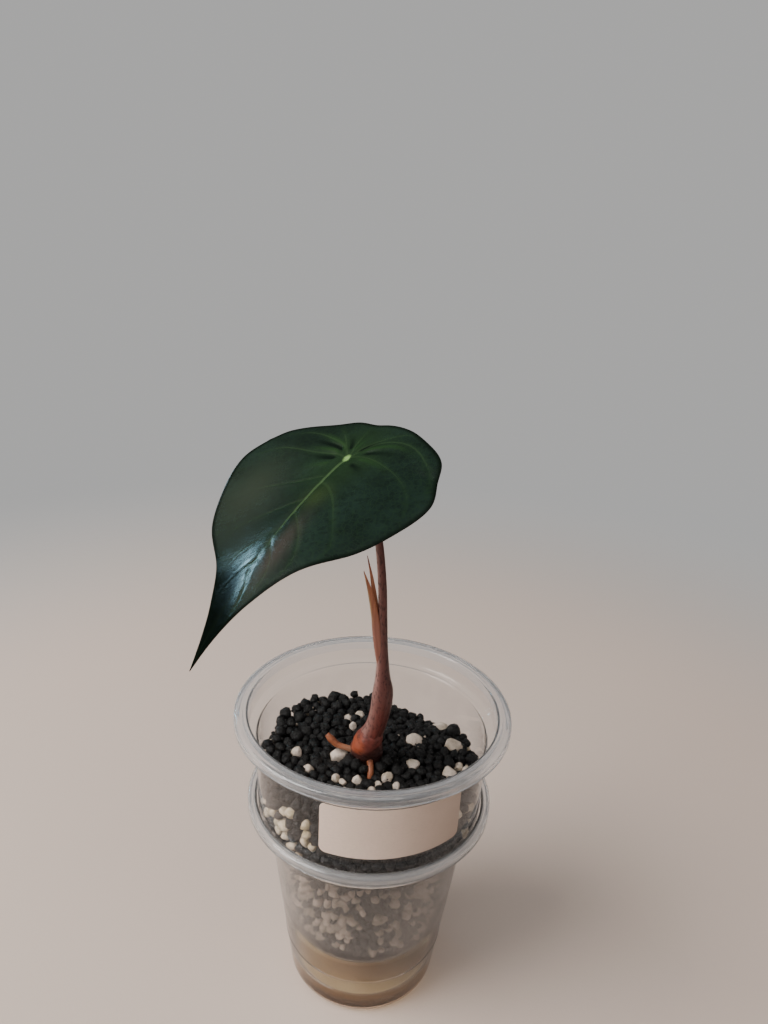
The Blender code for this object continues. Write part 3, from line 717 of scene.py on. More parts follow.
# pale grains that the photo shows on top: (x, y, width, height), in millimetres
paleOnTop = (
    (-25.7, -4.8, 3.8, 5.0), (-20.7, -12.4, 3.7, 2.8), (-11.2, -3.9, 7.3, 5.8), (-4.9, 21.1, 3.8, 3.8),
    (-7.2, 13.4, 3.0, 4.2), (-11.3, -16.0, 3.0, 3.3), (-8.8, -17.4, 2.7, 2.7), (-4.0, -15.8, 4.0, 4.0),
    (0.8, -20.0, 3.3, 2.4), (5.6, -13.2, 4.7, 3.9), (2.8, -17.2, 2.8, 2.9), (9.0, -16.7, 2.7, 2.7),
    (15.4, 9.5, 6.2, 4.7), (14.8, -4.8, 4.9, 3.7), (26.0, 22.0, 5.8, 3.4), (29.6, 7.9, 7.0, 4.6),
    (27.5, -7.5, 5.5, 4.6), (33.4, -5.4, 3.6, 4.0),
)
# dark pellets that stand out on top, in millimetres: (x, y, diameter, height over the rest)
proudPellets = (
    (30.2, 17.2, 5.8, 1.6), (35.6, 1.3, 4.4, 1.0), (3.6, -19.2, 4.0, 0.4), (-33.0, 6.0, 4.6, 0.6),
    (-7.4, -9.0, 4.6, 2.9), (-4.8, -10.7, 4.6, 3.0), (-2.4, -11.4, 3.8, 2.2), (-9.8, -9.4, 3.8, 0.9),
    (3.4, -10.2, 4.4, 2.7), (5.4, -7.4, 4.6, 3.0), (6.2, -3.2, 4.6, 2.6),
)
# the plant's lines, in millimetres: (x, y, z, radius), and (x, y, z) for the roots
petioleLine = (
    (-0.4, -5.0, 104.4, 3.9), (1.2, -5.0, 108.5, 3.5), (2.3, -5.0, 113.5, 3.5), (2.9, -5.0, 119.0, 3.6),
    (3.0, -5.0, 123.0, 3.4), (2.7, -5.0, 127.5, 2.6), (2.4, -5.0, 133.0, 2.1), (2.1, -5.0, 140.0, 1.7),
    (1.7, -5.0, 150.0, 1.5), (1.0, -5.0, 162.0, 1.4), (-0.7, -4.8, 176.0, 1.3), (-3.1, -4.4, 185.0, 1.3),
    (-6.8, -3.8, 194.5, 1.4),
)
cormLine = (
    (-3.0, -4.5, 80.0, 2.4), (-2.6, -4.5, 84.5, 4.2), (-1.4, -4.4, 89.5, 4.8), (-1.0, -4.2, 94.0, 4.9),
    (-1.4, -4.4, 98.0, 5.2), (-1.1, -4.8, 101.5, 4.9), (-0.1, -5.0, 104.8, 4.2), (0.4, -5.0, 106.6, 3.2),
)
rootLines = {
    "leftStub": ((-4.0, -4.8, 97.5), (-9.0, -4.6, 98.5), (-12.5, -3.6, 99.5), (-15.5, -2.5, 102.0)),
    "front": ((-1.0, -6.0, 97.0), (0.0, -11.0, 95.5), (-0.6, -14.5, 90.0), (-3.0, -18.0, 76.0),
              (-2.0, -19.5, 60.0), (2.0, -18.0, 45.0)),
    "right": ((-1.0, -4.5, 88.0), (7.0, -3.0, 82.0), (15.0, 1.0, 70.0), (20.0, 4.0, 56.0), (18.0, 5.0, 40.0)),
    "back": ((-3.0, -3.0, 87.0), (-4.0, 5.0, 80.0), (-2.0, 14.0, 69.0), (2.0, 20.0, 55.0), (0.0, 19.0, 41.0)),
    "left": ((-4.0, -4.5, 86.0), (-11.0, -4.0, 79.0), (-19.0, 0.0, 68.0), (-22.0, 2.0, 54.0), (-19.0, 1.0, 38.0)),
    "tap": ((-3.0, -4.5, 84.0), (-2.5, -5.0, 74.0), (0.5, -3.5, 62.0), (-1.5, -1.5, 49.0), (1.0, 0.0, 34.0)),
}


def soilHeight(x, y):
    reach = ((x - soilFacts["dipCentre"][0]) ** 2 + (y - soilFacts["dipCentre"][1]) ** 2)
    dip = np.exp(-reach / soilFacts["dipReach"] ** 2)
    return soilFacts["top"] - soilFacts["lean"] * x - soilFacts["dip"] * dip


def cupInnerRadius(z):
    # the inner cup's inside: the lower wall, then the wider band over the shoulder
    low = innerCup["floorRadius"] + (innerCup["wallTop"] - innerCup["floorRadius"]) * (
        (z - innerCup["floorZ"]) / (innerCup["shoulderZ"] - innerCup["floorZ"]))
    return np.where(z > innerCup["shoulderZ"] + 0.0004, innerCup["band"], low)


def plantBodies():
    # what the pellets make room for: the corm and the two roots on top
    bodies = [tuple(row) for row in inMetres(cormLine)]
    for name in ("leftStub", "front"):
        bodies += [(*point, 0.0013) for point in smoothLine(inMetres(rootLines[name]), 3)[:9]]
    return np.array(bodies)


def settlePellets(facts, layers, fixed):
    # pushes pellets apart until they lie side by side, each kept to its own layer
    kinds, radii, places = [], [], []
    for layer in layers:
        count, small, large, _, spread, low, high = soilLayers[layer]
        for k in range(count):
            reach = math.sqrt((k + 0.5) / count) * spread if spread else facts["wallStart"]
            turn = k * facts["turnStep"] + rng.uniform(-facts["turnJitter"], facts["turnJitter"])
            kinds.append(layer)
            radii.append(rng.uniform(small, large))
            places.append((reach * math.cos(turn), reach * math.sin(turn), low + (high - low) * (k + 0.5) / count))
    kinds, radii, places = np.array(kinds), np.array(radii), np.array(places)
    lift = np.array([rng.uniform(*facts["lift"]) for _ in radii])
    top, under, floor, band, lower = (kinds == name for name in ("Top", "Under", "Floor", "Band", "Lower"))
    wall = band | lower
    for _ in range(facts["rounds"]):
        others = np.vstack([places, fixed[:, :3]])
        reaches = (radii[:, None] + np.concatenate([radii, fixed[:, 3]])[None]) * facts["squeeze"]
        apart = places[:, None] - others[None]
        distance = np.sqrt(np.einsum("ijk,ijk->ij", apart, apart)) + 1e-9
        push = np.clip(reaches - distance, 0.0, None)
        np.fill_diagonal(push, 0.0)
        share = np.where(np.arange(len(others)) < len(places), 0.5, 1.0)
        places = places + facts["push"] * np.einsum("ij,ijk->ik", push * share[None] / distance, apart)
        across = np.hypot(places[:, 0], places[:, 1]) + 1e-9
        soil = soilHeight(places[:, 0], places[:, 1])
        for chosen, level in ((top, soil - facts["sink"] * radii + lift),
                              (under, soil - facts["underDepth"] + 0.5 * lift),
                              (floor, innerCup["floorZ"] + radii + 0.0001)):
            places[chosen, 2] = level[chosen]
        roof = np.where(band, soil - facts["bandDepth"], innerCup["shoulderZ"] - 0.0006)
        base = np.where(band, innerCup["shoulderZ"] + 0.0002 + radii, innerCup["floorZ"] + radii + 0.0002)
        places[wall, 2] = np.clip(places[wall, 2], base[wall], roof[wall])
        room = cupInnerRadius(places[:, 2]) - radii - facts["wallGap"]
        room[floor] -= facts["floorInset"]
        room[under] -= facts["underInset"]
        limited = np.where(wall, room, np.minimum(across, room))
        places[:, :2] *= (limited / across)[:, None]
    return kinds, radii, places


def grainShapes(count, subdivisions, lumps, cuts, seedPlace):
    # unit lumps: lumps gives the height of three sizes of swelling, and cuts the number of flat breaks
    shapes = []
    for k in range(count):
        bm = bmesh.new()
        bmesh.ops.create_icosphere(bm, subdivisions=subdivisions, radius=1.0)
        breaks = [(Vector((rng.uniform(-1, 1), rng.uniform(-1, 1), rng.uniform(-1, 1))).normalized(),
                   rng.uniform(0.62, 0.86)) for _ in range(cuts)]
        for vert in bm.verts:
            way = vert.co.normalized()
            swell = sum(height * noise.noise(way * pace + Vector((seedPlace + 7.3 * k, pace, 0)))
                        for height, pace in zip(lumps, (1.3, 3.1, 6.3)))
            spot = way * (1 + swell)
            for flat, level in breaks:
                spot -= flat * max(0.0, spot.dot(flat) - level) * 0.86
            vert.co = spot
        shapes.append((np.array([tuple(v.co) for v in bm.verts]), [[v.index for v in f.verts] for f in bm.faces]))
        bm.free()
    return shapes


def scatterShapes(name, shapes, places, sizes, material):
    # sets one lump at each place, turned at random, as one mesh
    allVerts, allFaces, start = [], [], 0
    for place, size in zip(places, sizes):
        verts, faces = shapes[rng.randrange(len(shapes))]
        aboutX, aboutY, aboutZ = (Matrix.Rotation(rng.uniform(0, 6.28), 3, axis) for axis in "XYZ")
        turn = aboutZ @ (aboutX @ aboutY)
        allVerts.append((verts @ np.array(turn).T) * np.array(size) + np.array(place))
        allFaces += [[start + i for i in face] for face in faces]
        start += len(verts)
    standIn(addPiece(name, np.vstack(allVerts), allFaces, material), "substrate")


paleLook = {"grain": 1900.0, "patches": (190.0, 0.42, 0.66, 3.0), "pitShare": 0.7, "roughness": (0.8, 0.9),
            "bump": (0.7, 0.0005)}
grainLooks = {
    "darkPellets": {"grain": 1250.0, "patches": (420.0, 0.52, 0.78, 5.0), "pitShare": 1, "roughness": (0.46, 0.78),
                    "bump": (0.9, 0.0007), "ground": (0.0045, 0.0043, 0.0044), "patch": (0.022, 0.0195, 0.0185),
                    "pit": (0.003, 0.003, 0.003)},
    "paleGrains": {**paleLook, "ground": (0.66, 0.555, 0.47), "patch": (0.42, 0.345, 0.255),
                   "pit": (0.20, 0.155, 0.12)},
    "creamGrains": {**paleLook, "ground": (0.60, 0.485, 0.365), "patch": (0.42, 0.335, 0.195),
                    "pit": (0.15, 0.12, 0.08)},
    "wetGrains": {**paleLook, "ground": (0.48, 0.375, 0.31), "patch": (0.27, 0.22, 0.17),
                  "pit": (0.08, 0.065, 0.055)},
}


def makeGrainMaterial(name):
    material, tree = newMaterial(name)
    facts = grainLooks[name]
    grain = placeGroup(tree, fineGrain, Scale=facts["grain"], Pits=0.8)
    patches = mottled(tree, *facts["patches"])
    # painted shade: the pits are darker, for the shade in them
    tone = layered(tree, facts, "ground", [(patches, 1, "patch"), (grain["Pit Mask"], facts["pitShare"], "pit")])
    finishSkin(tree, tone, ramp(tree, patches, 0.0, 1.0, *facts["roughness"]), (grain["Height"], *facts["bump"]),
               0.3)
    return material


bedFacts = {
    "steps": 96, "rings": 22, "edge": 0.0362, "sunk": 0.0052, "wallGap": 0.0030, "floorGap": 0.0026,
    "foot": ((-0.0020, 0.0021), (0.0002, 0.0019)),  # (height over the floor, reach) of the first two rings
    "neck": (0.0702, 0.0742),  # heights between which it widens over the shoulder
    "crown": (0.85, 0.7, 0.55, 0.4, 0.25, 0.12),
}


def makeBed(facts, material):
    # the dark heart that closes the gaps between the pellets
    steps, edge, sunk, verts, faces = facts["steps"], facts["edge"], facts["sunk"], [], []
    floorZ = innerCup["floorZ"] + facts["floorGap"]
    for ring in range(facts["rings"] + 1):
        share = ring / facts["rings"]
        for x, y, _ in circle(1.0, 0.0, steps):
            roof = float(soilHeight(edge * x, edge * y)) - sunk
            z = floorZ + (roof - floorZ) * max(0.0, share * 1.04 - 0.04)
            radius = float(cupInnerRadius(np.array(min(z, facts["neck"][0])))) - facts["wallGap"]
            if ring < len(facts["foot"]):
                rise, reach = facts["foot"][ring]
                z, radius = floorZ + rise, radius + reach
            if z > facts["neck"][1]:
                radius = innerCup["band"] - facts["wallGap"]
            radius += 0.0005 * noise.noise(Vector((x * 9, y * 9, z * 260)))
            verts.append((radius * x, radius * y, z))
        if ring:
            faces += ringBand((ring - 1) * steps, ring * steps, steps)
    foot, previous = len(verts), facts["rings"] * steps
    verts.append((0, 0, floorZ))
    faces += [(foot, (k + 1) % steps, k) for k in range(steps)]
    for share in facts["crown"]:
        start = len(verts)
        for x, y, _ in circle(edge * share, 0.0, steps):
            verts.append((x, y, float(soilHeight(x, y)) - sunk + 0.0006 * noise.noise(Vector((x, y, 0)) * 300)))
        faces += ringBand(previous, start, steps)
        previous = start
    crown = len(verts)
    verts.append((0, 0, float(soilHeight(0, 0)) - sunk))
    faces += [(crown, previous + k, previous + (k + 1) % steps) for k in range(steps)]
    standIn(faceOutward(addPiece("pelletBed", verts, faces, material)), "substrate")


def makeSubstrate(facts):
    pale = np.array([(x, y, float(soilHeight(x, y)) - facts["paleSink"], (w + h) / 4)
                     for x, y, w, h in inMetres(paleOnTop)])
    proud = np.array([(x, y, float(soilHeight(x, y)) - facts["proudSink"] + rise, d / 2)
                      for x, y, d, rise in inMetres(proudPellets)])
    upper = settlePellets(facts, ("Top", "Under", "Band"), np.vstack([plantBodies(), pale, proud]))
    deeper = settlePellets(facts, ("Lower", "Floor"), np.array([(0, 0, 0, 0.001)]))
    kinds, radii, places = (np.concatenate([a, b]) for a, b in zip(upper, deeper))
    looks = {name: makeGrainMaterial(name) for name in grainLooks}
    makeBed(bedFacts, looks["darkPellets"])
    roundShapes = grainShapes(9, 2, (0.26, 0.26, 0.16), 1, 1.0)
    plainShapes = grainShapes(7, 1, (0.24, 0.20, 0.0), 1, 40.0)
    paleShapes = grainShapes(9, 2, (0.30, 0.14, 0.06), 5, 80.0)
    fineShapes = grainShapes(10, 3, (0.26, 0.14, 0.10), 5, 160.0)
    isPale = np.array([rng.random() < soilLayers[kind][3] for kind in kinds])
    middle, halfWidth, top = facts["darkStrip"]
    inStrip = np.abs(np.arctan2(places[:, 0], -places[:, 1]) - middle) < halfWidth
    isPale &= ~((kinds == "Band") & inStrip & (places[:, 2] < top))
    isPale &= ~((kinds == "Lower") & (places[:, 2] < facts["darkFoot"]))
    # what the pale grains of a layer are made of, where it shows them
    paleKinds = {"Under": (plainShapes, "paleGrains"), "Band": (paleShapes, "creamGrains"),
                 "Lower": (paleShapes, "wetGrains")}
    for kind in soilLayers:
        chosen = (kinds == kind) & ~isPale
        at, size = places[chosen], radii[chosen]
        if kind == "Top":
            at, size = np.vstack([at, proud[:, :3]]), np.concatenate([size, proud[:, 3]])
        shapes = roundShapes if kind in ("Top", "Band") else plainShapes
        sizes = [(r, r, r * rng.uniform(*facts["flatten"])) for r in size]
        scatterShapes("pellets" + kind, shapes, at, sizes, looks["darkPellets"])
        if kind in paleKinds:
            chosen, (shapes, look) = (kinds == kind) & isPale, paleKinds[kind]
            sizes = [[r * rng.uniform(*span) for span in facts["paleForm"]] for r in radii[chosen]]
            scatterShapes("grains" + kind, shapes, places[chosen], sizes, looks[look])
    chosen = (kinds == "Top") & isPale
    sizes = [(w / 1.95, w / 2.1, h / 1.9) for _, _, w, h in inMetres(paleOnTop)]
    sizes += [(r, r, r * 0.9) for r in radii[chosen]]
    scatterShapes("grainsTop", fineShapes, np.vstack([pale[:, :3], places[chosen]]), sizes, looks["paleGrains"])
    # crumbs of broken pellet and pumice that lie on and between the pellets
    for name, count, look in (("crumbsDark", facts["crumbs"], "darkPellets"),
                              ("crumbsPale", facts["paleCrumbs"], "paleGrains")):
        at, size = [], []
        for _ in range(count):
            reach, turn = facts["crumbReach"] * math.sqrt(rng.random()), rng.uniform(0, fullTurn)
            x, y, r = reach * math.cos(turn), reach * math.sin(turn), rng.uniform(*facts["crumbRadius"])
            at.append((x, y, float(soilHeight(x, y)) - rng.uniform(*facts["crumbDepth"])))
            size.append((r, r * rng.uniform(*facts["crumbForm"]), r * rng.uniform(*facts["crumbForm"])))
        scatterShapes(name, plainShapes, at, size, looks[look])


makeSubstrate(soilFacts)
print("substrate made")


leafFacts = {
    "foot": (-0.0117, -0.0046, 0.2030), "length": 0.0788, "midribStart": -0.0090,
    # half outline from the notch round to the tip: (along the midrib, half width)
    "outline": ((-0.0172, 0.0), (-0.0171, 0.0095), (-0.0127, 0.0211), (-0.0070, 0.0306), (0.0, 0.0340),
                (0.0095, 0.0370), (0.0220, 0.0340), (0.0346, 0.0274), (0.0473, 0.0150), (0.0583, 0.0085),
                (0.0686, 0.0038), (0.0788, 0.0)),
    # each pair is the value at the foot and its change to the tip, in degrees
    "descent": (24.6, 9.8), "heading": (231.2, 19.0), "bank": (-6.7, -32.3),
    "foldRight": (-0.9, -0.1), "foldLeft": (1.4, -6.1),
    "curlRight": (5.0, 11.0), "curlLeft": (-8.0, -27.0),  # bend per metre out from the midrib
    "thickness": 0.00042, "marginThickness": 0.00020, "rows": 200, "columns": 160,
}
# relief of the blade: heights, and how far each reaches, in millimetres
leafRelief = {
    "veinSink": (0.06, 0.55), "veinDish": (0.09, 2.4), "costaSink": (0.30, 1.6), "nodeDip": (0.45, 2.6),
    "wave": (0.14, 3.0), "waves": 11, "quilt": 0.05, "folds": 1.08, "foldStart": 0.22,
    "costaUnder": (0.70, 0.75), "veinUnder": 0.18,
}
# veins: (half width at the start, at the end), then points (along, across) in millimetres; across is
# positive on the right of the midrib, seen from the foot to the tip
veinLines = (
    ((0.34, 0.16), ((0, 0), (-2, 1.6), (-7.6, 6.8), (-13.2, 13.2))),
    ((0.34, 0.14), ((0, 0), (-4.8, 4.8), (-7.6, 14), (-8.0, 22), (-4.5, 29.5))),
    ((0.36, 0.14), ((0, 0), (-0.6, 4), (0.4, 13.2), (1.6, 25.6), (7, 33.5))),
    ((0.16, 0.08), ((9, 0), (12.5, 7), (15.5, 15), (19, 23), (25, 29.5))),
    ((0.15, 0.08), ((20, 0), (24.5, 7), (29.5, 14), (34, 19), (40, 21))),
    ((0.15, 0.08), ((32, 0), (37, 6), (43, 10.5), (50, 11.8))),
    ((0.24, 0.10), ((44, 0), (49, 4), (55, 6.6), (61, 6.6))),
    ((0.32, 0.12), ((0, 0), (-2.4, 0), (-6.8, 1.2), (-15.6, 2.4))),
    ((0.34, 0.14), ((0, 0), (-1.6, -1.6), (-5.6, -2.6), (-10.4, -7.6), (-13.6, -13.6), (-13.0, -19.0))),
    ((0.42, 0.15), ((0, 0), (-1.2, -1.6), (-4.4, -3.6), (-7.6, -6.0), (-9.6, -10.8), (-9.6, -17.2), (-7.6, -22.4),
                    (-4.0, -27.6), (-0.4, -31.2), (6.0, -34.0))),
    ((0.34, 0.12), ((0, 0), (-0.6, -2.8), (-1.0, -7.6), (0.2, -14), (3.4, -22), (9, -29), (17, -32.5))),
    ((0.36, 0.12), ((12.2, 0), (14.4, -5), (19.2, -10.4), (24, -14), (28.4, -16.8), (34.5, -20), (41, -19.5))),
    ((0.28, 0.11), ((25, 0), (30, -5.4), (36, -10), (43, -12.6), (50, -11.6))),
    ((0.26, 0.10), ((37, 0), (42, -4.2), (48, -7.2), (55, -7.6))),
    ((0.24, 0.10), ((48, 0), (53, -2.8), (59, -4.4), (65, -4.0))),
)
# ridges and furrows that fan out from the foot: (height, half width), then points (along, across), in millimetres
foldLines = (
    ((0.36, 1.3), ((-1.5, 1.8), (-5.2, 6.0), (-7.8, 14), (-8.4, 21.0))),
    ((-0.46, 1.4), ((-2.0, 3.0), (-4.0, 6.6), (-4.6, 13.2), (-5.6, 21))),
    ((0.40, 1.4), ((-0.6, 3.0), (-2.2, 7.0), (-1.9, 12.6), (-0.2, 19.4))),
    ((-0.34, 1.6), ((0.9, 2.6), (1.6, 8.0), (2.6, 15.0))),
    ((0.22, 1.6), ((3.0, 2.4), (5.4, 8.0), (8.0, 15.0))),
    ((-0.26, 1.2), ((-2.6, 1.0), (-7.0, 3.4), (-11.5, 7.4))),
    ((0.24, 1.1), ((-2.8, -0.6), (-7.2, -0.6), (-13.0, -1.6))),
    ((-0.32, 1.2), ((-2.4, -1.7), (-6.4, -4.2), (-10.6, -9.4))),
    ((0.34, 1.3), ((-1.6, -2.4), (-5.4, -6.8), (-7.6, -12.6), (-6.8, -19.0), (-3.6, -25.0))),
    ((-0.24, 1.5), ((-1.2, -3.0), (-3.6, -8.4), (-4.6, -15.0), (-3.0, -21.0))),
    ((0.30, 1.5), ((0.2, -3.0), (0.2, -8.4), (1.4, -14.6), (4.0, -20.0))),
    ((-0.24, 1.6), ((2.4, -3.0), (4.4, -8.0), (7.6, -13.0))),
)
# soft patches of another tone: (along, across, reach along, reach across) in millimetres, and how strong it is;
# the pale and the bronze patches are painted sheen
leafPatches = {
    "paintedPaleSheen": ((18, 24, 14, 9), 0.75),
    "young": ((19, -3.5, 5, 4.5), 0.55),
    "paintedBronzeSheen": ((40, -5.5, 12, 3.4), 0.6),
}
# the gloss: soft spots as in leafPatches, and soft steps as (start, width) in millimetres; the dull steps also
# mark where the blade is painted near black, a painted dark reflection
leafGloss = {
    "polished": (48, 1, 13, 12), "streaked": (45, 2, 11, 15),
    "dullSide": (4.4, 0.9), "dullFrom": (46.5, 1.5), "dullTip": (61.5, 1.6),
}
leafTones = {
    "dark": (0.0052, 0.0132, 0.0090), "mid": (0.0098, 0.0235, 0.0172), "deep": (0.0022, 0.0060, 0.0040),
    "fresh": (0.018, 0.046, 0.015), "vein": (0.040, 0.078, 0.032), "costa": (0.080, 0.145, 0.058),
    # the tip tone is a painted dark reflection, laid where the blade is dull
    "node": (0.20, 0.36, 0.115), "margin": (0.0030, 0.0050, 0.0030), "tip": (0.0012, 0.0020, 0.0014),
    "underside": (0.070, 0.028, 0.034), "undersideDeep": (0.045, 0.022, 0.026),
    "undersideVein": (0.16, 0.060, 0.055),
    # painted sheen: a pale one and a bronze one
    "paintedPaleSheen": (0.0245, 0.0365, 0.0235), "young": (0.030, 0.052, 0.014), "paintedBronzeSheen": (0.046, 0.034, 0.030),
    "roughness": (0.20, 0.29), "gloss": (0.28, 0.5),  # the gloss is highest towards the tip
}


def leafFrames(facts, count=400):
    share = np.linspace(0, 1, count + 1)
    descent, heading, bank = (np.radians(facts[key][0] + facts[key][1] * share)
                              for key in ("descent", "heading", "bank"))
    along = np.column_stack([np.cos(descent) * np.cos(heading), np.cos(descent) * np.sin(heading),
                             -np.sin(descent)])
    flatRight = np.cross(along, (0.0, 0.0, 1.0))
    flatRight /= np.linalg.norm(flatRight, axis=1)[:, None]
    flatNormal = np.cross(flatRight, along)
    right = np.cos(bank)[:, None] * flatRight + np.sin(bank)[:, None] * flatNormal
    place = np.array(facts["foot"]) + np.vstack([np.zeros(3), np.cumsum(along[:-1], axis=0)]) * (
        facts["length"] / count)
    return place, along, right, np.cross(right, along)


def leafSurface(facts, alongs, acrosses):
    place, along, right, normal = leafFrames(facts)
    share = alongs / facts["length"]
    spot = np.clip(share, 0, 1) * (len(place) - 1)
    low = np.minimum(spot.astype(int), len(place) - 2)
    part = (spot - low)[:, None]
    base, way, side, up = (values[low] * (1 - part) + values[low + 1] * part
                           for values in (place, along, right, normal))
    base = base + way * np.minimum(alongs, 0)[:, None]
    fold, curl = (np.where(acrosses > 0, facts[key + "Right"][0] + facts[key + "Right"][1] * share,
                           facts[key + "Left"][0] + facts[key + "Left"][1] * share) for key in ("fold", "curl"))
    start = np.radians(fold)
    end = start + curl * np.abs(acrosses)
    level = (np.sin(end) - np.sin(start)) / curl
    rise = (np.cos(start) - np.cos(end)) / curl
    return base + side * np.copysign(level, acrosses)[:, None] + up * rise[:, None]


def lineDistance(points, line):
    # distance from each point to a polyline, and how far along the line the nearest place is, 0 to 1
    best, where, count = np.full(len(points), 1e9), np.zeros(len(points)), len(line) - 1
    for k in range(count):
        a, span = line[k], line[k + 1] - line[k]
        t = np.clip(((points - a) @ span) / max(float(span @ span), 1e-12), 0, 1)
        distance = np.linalg.norm(points - a - t[:, None] * span, axis=1)
        nearer = distance < best
        best = np.where(nearer, distance, best)
        where = np.where(nearer, (k + t) / count, where)
    return best, where


def makeLeafMaterial(facts):
    material, tree = newMaterial("leafSkin")
    veinGap, nodeGap = attribute(tree, "veinGap"), attribute(tree, "nodeGap")
    costa = ramp(tree, attribute(tree, "costaGap"), 1.25, 0.35)
    vein, nearVein = ramp(tree, veinGap, 1.9, 0.4), ramp(tree, veinGap, 9.0, 1.0)
    margin = ramp(tree, attribute(tree, "marginGap"), 1.8, 0.2)
    under, dull, folds = (attribute(tree, name) for name in ("underSide", "dull", "paintedFoldShading"))
    broad, fine = mottled(tree, 46.0, 0.35, 0.68, 2.0), mottled(tree, 520.0, 0.42, 0.70, 4.0)
    net = put(tree, "TexVoronoi", {"Vector": placeOf(tree), "Scale": 620.0}, feature="DISTANCE_TO_EDGE")
    netLine = ramp(tree, net.outputs["Distance"], 0.10, 0.02)
    above = layered(tree, facts, "dark", [
        (broad, 1, "mid"), (fine, 0.45, "deep"), (ramp(tree, nodeGap, 20.0, 2.0), 0.44, "fresh"),
        (nearVein, 0.16, "fresh"), (netLine, 0.16, "fresh"),
        *((attribute(tree, name), 1, name) for name in leafPatches),
        # painted highlight and shade: the fold ridges are painted lighter and the furrows darker
        (ramp(tree, folds, -0.01, -0.24), 0.66, "fresh"), (ramp(tree, folds, 0.01, 0.22), 0.90, "deep"),
        # painted dark reflection: the dull parts are painted near black
        (vein, 0.26, "vein"), (dull, 0.93, "tip"),
        (costa, ramp(tree, attribute(tree, "tipShare"), 0.0, 0.8, 0.56, 0.06), "costa"),
        (ramp(tree, nodeGap, 1.5, 0.6), 1, "node"), (margin, 0.8, "margin")])
    below = layered(tree, facts, "underside", [
        (fine, 1, "undersideDeep"), (calc(tree, "MAXIMUM", costa, times(tree, vein, 0.8)), 0.75, "undersideVein")])
    tone = blend(tree, under, above, below)
    streaks = attribute(tree, "streaks")
    height = calc(tree, "ADD", times(tree, fine, 0.22), times(tree, netLine, -0.10))
    height = calc(tree, "ADD", height, times(tree, streaks, 0.40))
    rough = calc(tree, "ADD", ramp(tree, streaks, 0.2, 0.8, *facts["roughness"]), times(tree, under, 0.2))
    # less gloss in the furrows, at the margin and where the blade is dull
    gloss = times(tree, ramp(tree, dull, 0.0, 1.0, 1.0, 0.1), ramp(tree, margin, 0.0, 1.0, 1.0, 0.25))
    gloss = times(tree, gloss, ramp(tree, attribute(tree, "polish"), 0.0, 1.0, *facts["gloss"]))
    gloss = times(tree, gloss, ramp(tree, calc(tree, "ABSOLUTE", folds), 0.02, 0.25, 1.0, 0.55))
    finishSkin(tree, tone, rough, (height, 0.3, 0.00012), gloss)
    return material


def leafNormals(grid):
    normals = np.cross(np.gradient(grid, axis=1), np.gradient(grid, axis=0))
    length = np.linalg.norm(normals, axis=2)[..., None]
    normals = np.where(length > 1e-12, normals / np.maximum(length, 1e-12), 0.0)
    if normals[len(grid) // 2, grid.shape[1] // 2, 2] < 0:
        normals = -normals
    normals[0] = normals[1]
    normals[-1] = normals[-2]
    return normals.reshape(-1, 3)


def streakPattern(along, across):
    # fine strokes that run out from the midrib to the margin and lean to the tip, as the side veins do
    values = []
    for x, y in zip(along, across):
        lean, side = x - 0.45 * abs(y), math.copysign(3.0, y) if y else -3.0
        broad = noise.noise(Vector((lean * 0.50, y * 0.10 + side, 0)))
        fine = noise.noise(Vector((lean * 2.2, y * 0.34 + side, 5)))
        values.append(0.5 + 0.5 * broad + 0.5 * fine)
    return np.array(values)


def hump(gap, facts):
    # a soft rise of (height, reach) where the gap is 0
    return facts[0] * np.exp(-(gap / facts[1]) ** 2)


def softSpot(along, across, place):
    x, y, reach, width = place
    return np.exp(-((along - x) / reach) ** 2 - ((across - y) / width) ** 2)


def softStep(value, step):
    return 1 / (1 + np.exp(-(value - step[0]) / step[1]))


